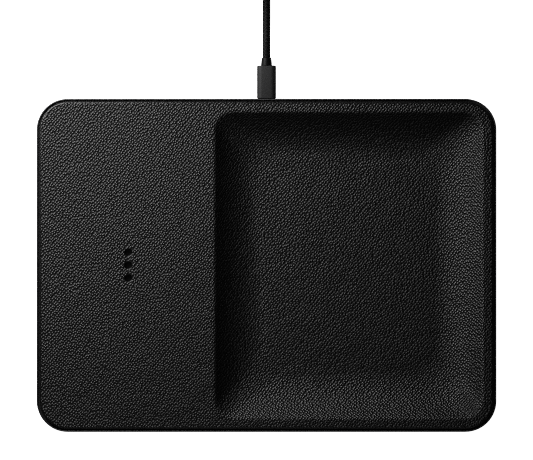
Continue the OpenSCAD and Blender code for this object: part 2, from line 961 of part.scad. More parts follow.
module plug_shell() {
    color(steel)
        translate([0, 0, port_z])
            difference() {
                along_y(grip_front - plug_len, grip_front)
                    rounded_rect(plug_w, plug_h, plug_h / 2 - eps);
                along_y(grip_front - plug_len - 1, grip_front - 0.3)
                    rounded_rect(plug_w - 2 * core_wall, plug_h - 2 * core_wall, plug_h / 2 - core_wall - eps);
            }
}

// The plug's insulator, with the slot that takes the port's tongue
module plug_core() {
    color(part_black)
        translate([0, 0, port_z])
            difference() {
                along_y(grip_front - plug_len + 0.1, grip_front - 0.35)
                    rounded_rect(
                        plug_w - 2 * (core_wall + core_gap),
                        plug_h - 2 * (core_wall + core_gap),
                        plug_h / 2 - core_wall - core_gap - eps
                    );
                along_y(grip_front - plug_len - 1, grip_front - plug_len + slot_depth)
                    square([slot_w, slot_h], center = true);
            }
}

// The tapered strain relief behind the grip, bevelled where the cord comes out
module plug_relief() {
    color(plug_black)
        translate([0, grip_rear, port_z])
            rotate([-90, 0, 0])
                rotate_extrude()
                    polygon([
                        [0, 0], [relief_front_d / 2, 0],
                        [relief_rear_d / 2, relief_len - relief_bevel],
                        [relief_rear_d / 2 - relief_bevel, relief_len], [0, relief_len]
                    ]);
}

// Points on a smooth curve through a route, a few to each stretch
function on_curve(a, b, c, d, t) = 0.5 * (
    2 * b + (c - a) * t + (2 * a - 5 * b + 4 * c - d) * t * t + (3 * b - a - 3 * c + d) * t * t * t
);
function smooth_route(p, steps) = concat(
    [p[0]],
    [
        for (i = [1:len(p) - 3], k = [0:steps - 1])
            on_curve(p[i - 1], p[i], p[i + 1], p[i + 2], k / steps)
    ],
    [p[len(p) - 2], p[len(p) - 1]]
);

// The direction of a line of points at one of them
function heading(p, i) = let (
    before = max(i - 1, 0),
    after = min(i + 1, len(p) - 1),
    d = p[after] - p[before]
) d / norm(d);

// The ring of a tube at one point of its line
function tube_ring(p, i, r, sides) = let (
    t = heading(p, i),
    side = cross(t, [0, 0, 1]) / norm(cross(t, [0, 0, 1])),
    up = cross(side, t)
) [for (k = [0:sides - 1]) p[i] + r * (side * cos(360 * k / sides) + up * sin(360 * k / sides))];

module tube(p, r, sides) {
    loft([for (i = [0:len(p) - 1]) tube_ring(p, i, r, sides)]);
}

// The stored coil: how far in a turn lies and how high, after a number of turns
function wound_in(turn) = let (part = turn % (2 * turns_across))
    turn_pitch * (part < turns_across ? part : 2 * turns_across - part);
function eased(t) = let (s = min(max(t, 0), 1)) s * s * (3 - 2 * s);
function wound_up(turn, k) = k >= coil_layers ? 0
    : layer_rise * eased((turn - k * turns_across + 0.25) / 0.5) + wound_up(turn, k + 1);
function coil_point(turn) = coil_centre + [
    (coil_out_r - wound_in(turn)) * cos(360 * turn),
    (coil_out_r - wound_in(turn)) * sin(360 * turn),
    coil_entry[2] + wound_up(turn, 1)
];
coil_turn_points = [for (k = [0:coil_loops * loop_rings]) coil_point(k / loop_rings)];
coil_last = coil_turn_points[len(coil_turn_points) - 1];
coil_line = concat([coil_entry - [0, lead, 0]], coil_turn_points, [coil_last + [0, lead, 0]]);

// The least gap between turns, measured from each point to those at least half a turn on
coil_self_gap = min([
    for (i = [0:len(coil_turn_points) - 1], j = [i + loop_rings / 2:1:len(coil_turn_points) - 1])
        norm(coil_turn_points[i] - coil_turn_points[j])
]) - cord_d;
echo(coil_self_gap = coil_self_gap);
function line_length(p, i = 0) = i >= len(p) - 1 ? 0 : norm(p[i + 1] - p[i]) + line_length(p, i + 1);
echo(
    cord_length = line_length(smooth_route(cord_route, 4)) + line_length(coil_line)
        + line_length(smooth_route(tail_route, 4))
);

module cord() {
    color(plug_black)
        tube(smooth_route(cord_route, cord_steps), cord_d / 2, cord_sides);
}

module cord_coil() {
    color(plug_black)
        tube(coil_line, cord_d / 2, loop_sides);
}

module cord_tail() {
    color(plug_black)
        tube(smooth_route(tail_route, cord_steps), cord_d / 2, cord_sides);
}

// A strap round the coil's bundle of turns, on the side away from the cord's ends
module cord_tie() {
    band_w = tie_outside_r - tie_inside_r;
    band_h = tie_high - tie_low;
    color(part_black)
        translate([coil_centre[0] - (tie_inside_r + tie_outside_r) / 2, 0, (tie_low + tie_high) / 2])
            along_y(coil_centre[1] - tie_w / 2, coil_centre[1] + tie_w / 2)
                difference() {
                    rounded_rect(band_w + 2 * tie_t, band_h + 2 * tie_t, tie_corner_r + tie_t);
                    rounded_rect(band_w, band_h, tie_corner_r);
                }
}

// The plug on the far end, which points to the front as it lies beside the coil
module supply_relief() {
    color(plug_black)
        translate([far_x, far_y, far_z])
            rotate([90, 0, 0])
                cylinder(h = far_relief_len, d1 = cord_d + 0.8, d2 = far_relief_d);
}

module supply_grip() {
    rear = far_y - far_relief_len;
    color(plug_black)
        intersection() {
            translate([far_x, 0, far_z])
                along_y(rear - far_grip_len, rear)
                    rounded_rect(far_grip_w, far_grip_h, far_grip_side_r);
            translate([far_x, rear - far_grip_len / 2, far_z - far_grip_h])
                linear_extrude(2 * far_grip_h)
                    rounded_rect(far_grip_w + eps, far_grip_len, far_grip_end_r);
        }
}

module supply_shell() {
    front = far_y - far_relief_len - far_grip_len;
    color(steel)
        translate([far_x, 0, far_z])
            difference() {
                along_y(front - far_shell_len, front)
                    square([far_shell_w, far_shell_h], center = true);
                along_y(front - far_shell_len - 1, front - far_wall)
                    square([far_shell_w - 2 * far_wall, far_shell_h - 2 * far_wall], center = true);
                for (x = [-1, 1])
                    translate([x * far_shell_w / 4, front - far_shell_len * 0.55, 0])
                        cube([far_window, far_window, 2 * far_shell_h], center = true);
            }
}

module supply_tongue() {
    front = far_y - far_relief_len - far_grip_len;
    color(part_black)
        translate([far_x, 0, far_z + far_shell_h / 2 - far_wall - far_tongue_t / 2 - 0.05])
            along_y(front - far_shell_len + 0.3, front - far_wall - 0.05)
                square([far_tongue_w, far_tongue_t], center = true);
}

leather_cover();
deck_shell();
rim_frame();
base_pan();
grip_pad();
case_screws();
coil_carrier();
carrier_screws();
centre_coil();
front_coil();
rear_coil();
ferrite_sheet();
coil_sensor();
main_board();
board_screws();
controller_chip();
power_switches();
tuning_capacitors();
supply_inductor();
shield_can();
board_socket();
port_board();
port_screws();
port_shell();
port_tongue();
port_socket();
link_cable();
plug_grip();
plug_shell();
plug_core();
plug_relief();
cord();
cord_coil();
cord_tie();
cord_tail();
supply_relief();
supply_grip();
supply_shell();
supply_tongue();
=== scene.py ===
"""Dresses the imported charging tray: leather, frame, case, electronics, cord, plugs and a plain studio.

Sizes are in metres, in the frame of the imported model: X to the right, Y to the rear, Z up.
"""

import math

import bpy
import numpy as np
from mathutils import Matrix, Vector
from mathutils.geometry import delaunay_2d_cdt


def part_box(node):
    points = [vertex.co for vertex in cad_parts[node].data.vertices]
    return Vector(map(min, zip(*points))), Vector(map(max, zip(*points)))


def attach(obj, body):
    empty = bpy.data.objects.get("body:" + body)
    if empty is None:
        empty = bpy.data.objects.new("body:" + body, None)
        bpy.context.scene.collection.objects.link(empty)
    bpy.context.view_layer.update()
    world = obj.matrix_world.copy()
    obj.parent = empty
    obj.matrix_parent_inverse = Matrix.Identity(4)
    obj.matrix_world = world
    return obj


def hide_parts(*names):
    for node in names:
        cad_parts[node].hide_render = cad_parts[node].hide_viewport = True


bl_info = {
    "name": "Leather Charging Tray",
    "version": (1, 0, 0),
    "blender": (4, 5, 0),
    "location": "3D View > Sidebar > Charging Tray",
    "description": "Makes the leather, frame, cord and plugs of a charging tray, and finishes its parts",
    "category": "Object",
}

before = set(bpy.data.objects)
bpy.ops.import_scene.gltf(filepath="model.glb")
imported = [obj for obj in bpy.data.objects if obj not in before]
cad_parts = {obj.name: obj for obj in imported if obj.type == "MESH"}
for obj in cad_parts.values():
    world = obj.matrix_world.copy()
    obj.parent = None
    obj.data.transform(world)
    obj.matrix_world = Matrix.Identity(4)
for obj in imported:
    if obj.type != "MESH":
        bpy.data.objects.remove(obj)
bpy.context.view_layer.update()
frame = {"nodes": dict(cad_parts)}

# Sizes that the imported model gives
frame_low, frame_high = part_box("rim_frame")
leather_low, leather_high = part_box("leather_cover")
pad_low, pad_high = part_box("grip_pad")
grip_low, grip_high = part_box("plug_grip")
relief_low, relief_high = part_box("plug_relief")
far_grip_low, far_grip_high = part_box("supply_grip")
far_relief_low, far_relief_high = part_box("supply_relief")
tie_low, tie_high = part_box("cord_tie")
coil_low, coil_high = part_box("centre_coil")
switch_low, switch_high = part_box("power_switches")
capacitor_low, capacitor_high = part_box("tuning_capacitors")

TRAY_W = frame_high.x - frame_low.x
TRAY_D = frame_high.y - frame_low.y
TRAY_TOP = leather_high.z
PORT_Z = (grip_low.z + grip_high.z) / 2
CHARGE_X = (coil_low.x + coil_high.x) / 2

# How finely the curved surfaces are divided
CORNER_STEPS = 14
SIDE_STEPS = 16
CREST_STEPS = 7
COVE_STEPS = 30
ROLL_STEPS = 8
GUARD = 0.0004
FILL_PITCH = 0.006

# The frame's section: insets from the tray's outline, and heights
WALL = 0.0018
SHELF_IN = 0.005
SHELF_T = 0.0014
GUSSET = 0.003
FOOT_IN = 0.004
WEB_IN = 0.006
WEB_T = 0.0017
WEB_SLOPE = 0.002
PAN_LIP = 0.001
FOOT_R = 0.0032

# The cord's route, as the part's source has it
CORD_ROUTE = [
    (0, 0.118, 0.0072), (0, 0.122, 0.0072), (0, 0.129, 0.0064), (0, 0.137, 0.0042),
    (0, 0.145, 0.0026), (0, 0.153, 0.0021), (0, 0.162, 0.0022), (0, 0.170, 0.0028),
    (0, 0.176, 0.003), (0, 0.180, 0.003),
]
TAIL_ROUTE = [
    (0, 0.188, 0.0165), (0, 0.192, 0.0165), (0, 0.200, 0.0144), (0.002, 0.208, 0.0114),
    (0.008, 0.214, 0.0084), (0.016, 0.216, 0.0056), (0.024, 0.214, 0.0035),
    (0.030, 0.208, 0.0028), (0.032, 0.200, 0.0038), (0.032, 0.196, 0.0038),
]
CORD_D = 0.004
COIL_ENTRY = (0, 0.184, 0.003)
COIL_MEAN_R = 0.022
TURNS_ACROSS = 3
TURN_PITCH = 0.0045
COIL_LAYERS = 4
LAYER_RISE = 0.0045
CLIMB_TURNS = 0.5
COIL_OUT_R = COIL_MEAN_R + TURNS_ACROSS * TURN_PITCH / 2
COIL_X = COIL_ENTRY[0] - COIL_OUT_R
CORD_STEP = 0.0006
CORD_SIDES = 24
# How far the braid's threads stand off the cord, how much longer and wider the grip is than
# its packed box, and how far the strain relief swells at the grip
BRAID_OVER = 0.00008
GRIP_OVER = 0.0004
GRIP_WIDER = 0.00025
RELIEF_SWELL = 0.00015


class TraySizes(bpy.types.PropertyGroup):
    """Sizes of the leather top and the frame."""

    corner: bpy.props.FloatProperty(
        name="Corner Radius", description="Plan radius of the tray's corners",
        default=0.0175, unit="LENGTH",
    )
    charge_deck: bpy.props.FloatProperty(
        name="Charging Deck", description="Width of the flat deck beside the dish",
        default=0.101, unit="LENGTH",
    )
    dish_margin: bpy.props.FloatProperty(
        name="Dish Margin", description="Width of the flat rim round the dish's other sides",
        default=0.0079, unit="LENGTH",
    )
    dish_depth: bpy.props.FloatProperty(
        name="Dish Depth", description="Depth of the dish below the deck",
        default=0.01, unit="LENGTH",
    )
    cove: bpy.props.FloatProperty(
        name="Cove Width", description="Width of the dish's concave walls",
        default=0.026, unit="LENGTH",
    )
    crest: bpy.props.FloatProperty(
        name="Crest Radius", description="Rounding over the edge of the dish",
        default=0.003, unit="LENGTH",
    )
    crest_corner: bpy.props.FloatProperty(
        name="Crest Corner", description="Plan radius of the dish's corners at the top",
        default=0.01, unit="LENGTH",
    )
    floor_corner: bpy.props.FloatProperty(
        name="Floor Corner", description="Plan radius of the dish's corners at the floor",
        default=0.015, unit="LENGTH",
    )
    leather: bpy.props.FloatProperty(
        name="Leather", description="Thickness of the leather",
        default=0.001, unit="LENGTH",
    )
    deck: bpy.props.FloatProperty(
        name="Deck", description="Thickness of the moulded plate under the leather",
        default=0.0016, unit="LENGTH",
    )
    leather_roll: bpy.props.FloatProperty(
        name="Leather Roll", description="Width of the leather's rolled outer edge",
        default=0.0012, unit="LENGTH",
    )
    roll_drop: bpy.props.FloatProperty(
        name="Roll Drop", description="Height of the leather's rolled outer edge",
        default=0.0011, unit="LENGTH",
    )
    groove: bpy.props.FloatProperty(
        name="Groove", description="Width of the groove between the lip and the leather",
        default=0.00085, unit="LENGTH",
    )
    lip: bpy.props.FloatProperty(
        name="Lip", description="Width of the frame's lip",
        default=0.0007, unit="LENGTH",
    )
    lip_round: bpy.props.FloatProperty(
        name="Lip Rounding", description="Rounding of the lip's outer edge",
        default=0.00045, unit="LENGTH",
    )
    mark: bpy.props.FloatProperty(
        name="Dimple", description="Diameter of the dimples that mark the coil",
        default=0.0039, unit="LENGTH",
    )
    mark_pitch: bpy.props.FloatProperty(
        name="Dimple Pitch", description="Distance between the dimples",
        default=0.0073, unit="LENGTH",
    )
    mark_depth: bpy.props.FloatProperty(
        name="Dimple Depth", description="Depth of the dimples",
        default=0.0008, unit="LENGTH",
    )


class LeatherLook(bpy.types.PropertyGroup):
    """Colour and grain of the leather."""

    colour: bpy.props.FloatVectorProperty(
        name="Leather", description="Colour of the pebbles' tops",
        default=(0.003, 0.003, 0.003), subtype="COLOR",
    )
    # Painted shade: a darker colour put in the valleys between the pebbles
    painted_valley_shade: bpy.props.FloatVectorProperty(
        name="Valleys", description="Colour between the pebbles",
        default=(0.0005, 0.0005, 0.0005), subtype="COLOR",
    )
    pebble: bpy.props.FloatProperty(
        name="Pebble", description="Distance between neighbouring pebbles",
        default=0.00136, unit="LENGTH",
    )
    relief: bpy.props.FloatProperty(
        name="Relief", description="Height of the pebbles",
        default=0.00034, unit="LENGTH",
    )
    stretch: bpy.props.FloatProperty(
        name="Stretch", description="How many times longer a pebble is than wide",
        default=1.08,
    )
    unevenness: bpy.props.FloatProperty(
        name="Unevenness", description="How far the pebbles stray from an even spread",
        default=0.55, subtype="FACTOR",
    )
    steepness: bpy.props.FloatProperty(
        name="Steepness", description="How fast a pebble falls off towards its edge",
        default=1.7,
    )
    roundness: bpy.props.FloatProperty(
        name="Roundness", description="Shape of a pebble: 1 is a cone and 2 a round dome",
        default=1.2,
    )
    lean: bpy.props.FloatProperty(
        name="Lean", description="Direction of the pebbles' long side, from the X axis",
        default=math.radians(50), subtype="ANGLE",
    )
    shine: bpy.props.FloatProperty(
        name="Roughness", description="Roughness of the pebbles' tops",
        default=0.24, subtype="FACTOR",
    )


class PartLook(bpy.types.PropertyGroup):
    """Colours of the frame, the plugs, the cord and the parts inside."""

    frame: bpy.props.FloatVectorProperty(
        name="Frame", description="Colour of the powder coat",
        default=(0.028, 0.028, 0.029), subtype="COLOR",
    )
    shell: bpy.props.FloatVectorProperty(
        name="Shell", description="Colour of the moulded case parts",
        default=(0.03, 0.03, 0.032), subtype="COLOR",
    )
    pad: bpy.props.FloatVectorProperty(
        name="Pad", description="Colour of the silicone pad",
        default=(0.022, 0.022, 0.023), subtype="COLOR",
    )
    plug: bpy.props.FloatVectorProperty(
        name="Plug", description="Colour of the moulded plug",
        default=(0.014, 0.014, 0.0144), subtype="COLOR",
    )
    braid: bpy.props.FloatVectorProperty(
        name="Braid", description="Colour of the cord's braid",
        default=(0.002, 0.002, 0.002), subtype="COLOR",
    )
    copper: bpy.props.FloatVectorProperty(
        name="Copper", description="Colour of the enamelled wire",
        default=(0.6, 0.24, 0.09), subtype="COLOR",
    )
    board: bpy.props.FloatVectorProperty(
        name="Board", description="Colour of the solder mask",
        default=(0.01, 0.09, 0.035), subtype="COLOR",
    )
    braid_pitch: bpy.props.FloatProperty(
        name="Braid Pitch", description="Length of one crossing of the braid",
        default=0.0021, unit="LENGTH",
    )
    braid_strands: bpy.props.IntProperty(
        name="Braid Strands", description="Strands that wind each way round the cord",
        default=8,
    )


class StudioLook(bpy.types.PropertyGroup):
    """The camera, the lights and the floor."""

    view_width: bpy.props.FloatProperty(
        name="View Width", description="Width that the camera sees at the tray's top",
        default=0.3015, unit="LENGTH",
    )
    view_y: bpy.props.FloatProperty(
        name="View Centre", description="Distance that the camera aims behind the tray's middle",
        default=0.02, unit="LENGTH",
    )
    camera_height: bpy.props.FloatProperty(
        name="Camera Height", description="Distance of the camera above the tray",
        default=2.0, unit="LENGTH",
    )
    key_power: bpy.props.FloatProperty(
        name="Key", description="Power of the large soft light at the rear left, in watts",
        default=2.0,
    )
    key_size: bpy.props.FloatProperty(
        name="Key Size", description="Width of the large soft light",
        default=0.3, unit="LENGTH",
    )
    key_tilt: bpy.props.FloatProperty(
        name="Key Tilt", description="Angle of the key light from straight above",
        default=math.radians(58), subtype="ANGLE",
    )
    key_turn: bpy.props.FloatProperty(
        name="Key Direction", description="Direction that the key light comes from, from the X axis",
        default=math.radians(132), subtype="ANGLE",
    )
    key_distance: bpy.props.FloatProperty(
        name="Key Distance", description="Distance of the key light from the tray",
        default=0.42, unit="LENGTH",
    )
    fill_power: bpy.props.FloatProperty(
        name="Fill", description="Power of the weak light at the front, in watts",
        default=0.35,
    )
    floor_glow: bpy.props.FloatProperty(
        name="Floor Glow", description="How strongly the floor shines white into the camera",
        default=1.0,
    )
    horizon: bpy.props.FloatProperty(
        name="Horizon", description="Weak light that comes from low down on every side",
        default=0.06,
    )
    sharpness: bpy.props.FloatProperty(
        name="Pixel Width", description="Width of the area that each pixel takes in, in pixels",
        default=1.0,
    )


SETTINGS = {
    "tray_sizes": TraySizes,
    "leather_look": LeatherLook,
    "part_look": PartLook,
    "studio_look": StudioLook,
}


# Node helpers


def new_material(name):
    """A material with a Principled shader and an output. Returns the material, its tree and the shader."""
    material = bpy.data.materials.new(name)
    material.use_nodes = True
    tree = material.node_tree
    tree.nodes.clear()
    output = tree.nodes.new("ShaderNodeOutputMaterial")
    shader = tree.nodes.new("ShaderNodeBsdfPrincipled")
    tree.links.new(shader.outputs["BSDF"], output.inputs["Surface"])
    return material, tree, shader


def put(tree, target, value):
    """Links a socket to an input, or sets the input to a number or colour."""
    if isinstance(value, bpy.types.NodeSocket):
        tree.links.new(value, target)
    elif hasattr(value, "__len__") and len(value) == 3 and target.type == "RGBA":
        target.default_value = (*value, 1)
    else:
        target.default_value = value


def add(tree, kind, inputs=None, **settings):
    """Adds a node with its settings and inputs. Inputs are given by name or number."""
    made = tree.nodes.new(kind)
    for name, value in settings.items():
        setattr(made, name, value)
    for name, value in (inputs or {}).items():
        put(tree, made.inputs[name], value)
    return made


def maths(tree, operation, a, b=0.0, clamp=False):
    """The result of one sum on two numbers or sockets."""
    return add(tree, "ShaderNodeMath", {0: a, 1: b}, operation=operation, use_clamp=clamp).outputs[0]


def ramp(tree, value, low, high, start=0.0, end=1.0):
    """Maps a value from low..high to start..end with soft ends."""
    made = add(
        tree, "ShaderNodeMapRange",
        {"Value": value, "From Min": low, "From Max": high, "To Min": start, "To Max": end},
        interpolation_type="SMOOTHSTEP",
    )
    return made.outputs["Result"]


def mixed(tree, factor, a, b):
    """A colour between a and b."""
    made = add(tree, "ShaderNodeMix", data_type="RGBA")
    put(tree, made.inputs["Factor"], factor)
    put(tree, made.inputs[6], a)
    put(tree, made.inputs[7], b)
    return made.outputs[2]


def place(tree):
    """The position on the piece, in metres, in the tray's frame."""
    return tree.nodes.new("ShaderNodeTexCoord").outputs["Object"]


def noise(tree, vector, size, detail=2.0, roughness=0.5):
    """Soft noise whose spots are about the given size."""
    made = add(
        tree, "ShaderNodeTexNoise",
        {"Vector": vector, "Scale": 1 / size, "Detail": detail, "Roughness": roughness},
    )
    return made.outputs["Fac"]


def bumped(tree, shader, height, distance, strength=1.0, normal=None):
    """Bends the shader's normal by a height from 0 to 1 times a distance."""
    made = add(tree, "ShaderNodeBump", {"Height": height, "Distance": distance, "Strength": strength})
    if normal is not None:
        tree.links.new(normal, made.inputs["Normal"])
    tree.links.new(made.outputs["Normal"], shader.inputs["Normal"])
    return made.outputs["Normal"]


def shade(colour, factor):
    """A colour made darker or lighter."""
    return tuple(min(c * factor, 1.0) for c in colour)


# Materials


def leather(name, grain=1.0, painted_light_scale=1.0):
    """Black leather with elongated pebbles. A grain below 1 is flattened by pressing or stretching. The last
    number scales the colour into a painted lighter or darker copy of the leather: painted sheen or painted shade.
    """
    look = bpy.context.scene.leather_look
    material, tree, shader = new_material(name)
    flat = add(tree, "ShaderNodeUVMap", uv_map="grain").outputs["UV"]
    turned = add(tree, "ShaderNodeMapping", {"Vector": flat, "Rotation": (0, 0, -look.lean)})
    sized = add(
        tree, "ShaderNodeMapping",
        {"Vector": turned.outputs["Vector"], "Scale": (1 / look.stretch, 1, 1)},
    ).outputs["Vector"]
    bend = add(tree, "ShaderNodeTexNoise", {"Vector": sized, "Scale": 0.3 / look.pebble, "Detail": 1.0})
    shift = add(
        tree, "ShaderNodeVectorMath",
        {0: bend.outputs["Color"], 1: (look.pebble * 0.3,) * 3}, operation="MULTIPLY",
    )
    grain_place = add(
        tree, "ShaderNodeVectorMath",
        {0: sized, 1: shift.outputs["Vector"]}, operation="ADD",
    ).outputs["Vector"]
    cells = add(
        tree, "ShaderNodeTexVoronoi",
        {"Vector": grain_place, "Scale": 1 / look.pebble, "Randomness": look.unevenness},
        voronoi_dimensions="2D", feature="F1",
    ).outputs["Distance"]
    fall = maths(tree, "MULTIPLY", maths(tree, "POWER", cells, look.roundness), look.steepness)
    dome = maths(tree, "SUBTRACT", 1.0, fall, clamp=True)
    fine = noise(tree, flat, look.pebble * 0.22, 2.0)
    slow = noise(tree, flat, look.pebble * 9, 1.0)
    height = maths(tree, "ADD", dome, maths(tree, "MULTIPLY", fine, 0.02))
    height = maths(tree, "ADD", height, maths(tree, "MULTIPLY", slow, 0.9))
    # Painted shade: the valleys between the pebbles take a darker colour than the tops, and the colour scale then
    # paints a lighter or darker copy of both
    top = ramp(tree, dome, 0.25, 0.8)
    tone = mixed(tree, top, shade(look.painted_valley_shade, painted_light_scale), shade(look.colour, painted_light_scale))
    put(tree, shader.inputs["Base Color"], tone)
    rough = ramp(tree, dome, 0.2, 0.8, look.shine + 0.3 * grain, look.shine)
    put(tree, shader.inputs["Roughness"], rough)
    shader.inputs["Specular IOR Level"].default_value = 0.5
    bumped(tree, shader, height, look.relief * grain)
    return material


def powder_coat():
    """Smooth satin black coat with a very fine orange peel."""
    look = bpy.context.scene.part_look
    material, tree, shader = new_material("powder_coat")
    where = place(tree)
    peel = noise(tree, where, 0.0006, 3.0)
    cloud = noise(tree, where, 0.02)
    tone = mixed(tree, cloud, shade(look.frame, 0.85), shade(look.frame, 1.2))
    put(tree, shader.inputs["Base Color"], tone)
    put(tree, shader.inputs["Roughness"], ramp(tree, peel, 0.2, 0.8, 0.34, 0.46))
    bumped(tree, shader, peel, 0.00002)
    return material


def moulded(name, colour, grain=0.0004, roughness=0.5, depth=0.00002, shine=0.5):
    """Moulded plastic with the fine spark-eroded texture of its mould."""
    material, tree, shader = new_material(name)
    where = place(tree)
    spark = noise(tree, where, grain, 3.0, 0.6)
    cloud = noise(tree, where, 0.015)
    put(tree, shader.inputs["Base Color"], mixed(tree, cloud, shade(colour, 0.85), shade(colour, 1.15)))
    put(tree, shader.inputs["Roughness"], ramp(tree, spark, 0.2, 0.8, roughness - 0.06, roughness + 0.08))
    shader.inputs["Specular IOR Level"].default_value = shine
    bumped(tree, shader, spark, depth)
    return material


def silicone():
    """Matt silicone with a fine pimple grid and a little dust."""
    look = bpy.context.scene.part_look
    material, tree, shader = new_material("silicone")
    where = place(tree)
    pimples = add(
        tree, "ShaderNodeTexVoronoi",
        {"Vector": where, "Scale": 1 / 0.0018, "Randomness": 0.0}, voronoi_dimensions="2D",
    ).outputs["Distance"]
    raised = ramp(tree, pimples, 0.2, 0.42, 1.0, 0.0)
    dust = noise(tree, where, 0.03, 5.0, 0.65)
    tone = mixed(tree, ramp(tree, dust, 0.45, 0.8), look.pad, shade(look.pad, 1.7))
    put(tree, shader.inputs["Base Color"], tone)
    put(tree, shader.inputs["Roughness"], ramp(tree, dust, 0.3, 0.8, 0.72, 0.88))
    bumped(tree, shader, raised, 0.00012)
    return material


def metal(name, colour, roughness, streak=0.0, scale=0.0004):
    """Drawn, plated or tinned metal with faint streaks and stains."""
    material, tree, shader = new_material(name)
    where = place(tree)
    drawn = add(tree, "ShaderNodeMapping", {"Vector": where, "Scale": (1, 1 - streak, 1)}).outputs["Vector"]
    lines = noise(tree, drawn, scale, 3.0, 0.6)
    stain = noise(tree, where, 0.004, 3.0)
    put(tree, shader.inputs["Base Color"], mixed(tree, stain, shade(colour, 0.86), colour))
    put(tree, shader.inputs["Roughness"], ramp(tree, lines, 0.25, 0.75, roughness - 0.07, roughness + 0.1))
    shader.inputs["Metallic"].default_value = 1.0
    bumped(tree, shader, lines, 0.00001)
    return material


def litz(name, centre_y):
    """Enamelled litz wire, whose strands twist round one another as the coil goes round."""
    look = bpy.context.scene.part_look
    material, tree, shader = new_material(name)
    where = place(tree)
    moved = add(
        tree, "ShaderNodeVectorMath", {0: where, 1: (CHARGE_X, centre_y, 0)}, operation="SUBTRACT"
    ).outputs["Vector"]
    parts = add(tree, "ShaderNodeSeparateXYZ", {"Vector": moved})
    angle = maths(tree, "ARCTAN2", parts.outputs["Y"], parts.outputs["X"])
    out = add(tree, "ShaderNodeVectorMath", {0: moved}, operation="LENGTH").outputs["Value"]
    twist = maths(tree, "ADD", maths(tree, "MULTIPLY", angle, 60.0), maths(tree, "MULTIPLY", out, 5200.0))
    strand = maths(tree, "ABSOLUTE", maths(tree, "SINE", twist))
    speck = noise(tree, where, 0.0008, 2.0)
    # Painted shade: the copper is darker in the grooves between the twisted strands
    wire = mixed(tree, strand, shade(look.copper, 0.35), look.copper)
    tone = mixed(tree, maths(tree, "MULTIPLY", speck, 0.35), wire, shade(look.copper, 0.5))
    put(tree, shader.inputs["Base Color"], tone)
    shader.inputs["Metallic"].default_value = 0.9
    put(tree, shader.inputs["Roughness"], ramp(tree, strand, 0.0, 1.0, 0.5, 0.3))
    shader.inputs["Coat Weight"].default_value = 0.5
    bumped(tree, shader, strand, 0.00008)
    return material


def ferrite(name, colour=(0.03, 0.029, 0.031)):
    """Sintered ferrite: matt, dense, with fine pits."""
    material, tree, shader = new_material(name)
    where = place(tree)
    pits = noise(tree, where, 0.0005, 4.0, 0.7)
    put(tree, shader.inputs["Base Color"], mixed(tree, pits, shade(colour, 0.6), shade(colour, 1.5)))
    put(tree, shader.inputs["Roughness"], ramp(tree, pits, 0.3, 0.7, 0.55, 0.8))
    bumped(tree, shader, ramp(tree, pits, 0.35, 0.5), 0.00003)
    return material


def solder_mask():
    """Green solder mask over copper tracks, with tinned holes between them."""
    look = bpy.context.scene.part_look
    material, tree, shader = new_material("solder_mask")
    where = place(tree)
    tracks = add(
        tree, "ShaderNodeTexBrick",
        {"Vector": where, "Scale": 1.0, "Mortar Size": 0.00018, "Brick Width": 0.0061, "Row Height": 0.0011},
    ).outputs["Fac"]
    dots = add(
        tree, "ShaderNodeTexVoronoi",
        {"Vector": where, "Scale": 1 / 0.004, "Randomness": 0.6}, voronoi_dimensions="2D",
    ).outputs["Distance"]
    hole = ramp(tree, dots, 0.07, 0.09, 1.0, 0.0)
    mask = mixed(tree, tracks, look.board, shade(look.board, 1.7))
    put(tree, shader.inputs["Base Color"], mixed(tree, hole, mask, (0.5, 0.46, 0.36)))
    put(tree, shader.inputs["Roughness"], ramp(tree, hole, 0.0, 1.0, 0.32, 0.25))
    put(tree, shader.inputs["Metallic"], hole)
    bumped(tree, shader, maths(tree, "ADD", tracks, hole), 0.00003)
    return material


def ceramic(name, low, high):
    """Tan ceramic capacitors with tinned ends, which lie along X between low and high."""
    material, tree, shader = new_material(name)
    where = place(tree)
    along = add(tree, "ShaderNodeSeparateXYZ", {"Vector": where}).outputs["X"]
    middle = (low + high) / 2
    off = maths(tree, "ABSOLUTE", maths(tree, "SUBTRACT", along, middle))
    end = ramp(tree, off, (high - low) * 0.36, (high - low) * 0.38)
    grain = noise(tree, where, 0.0004, 3.0)
    body = mixed(tree, grain, (0.3, 0.2, 0.11), (0.42, 0.29, 0.17))
    put(tree, shader.inputs["Base Color"], mixed(tree, end, body, (0.7, 0.7, 0.69)))
    put(tree, shader.inputs["Metallic"], end)
    put(tree, shader.inputs["Roughness"], ramp(tree, end, 0.0, 1.0, 0.5, 0.3))
    bumped(tree, shader, grain, 0.00002)
    return material


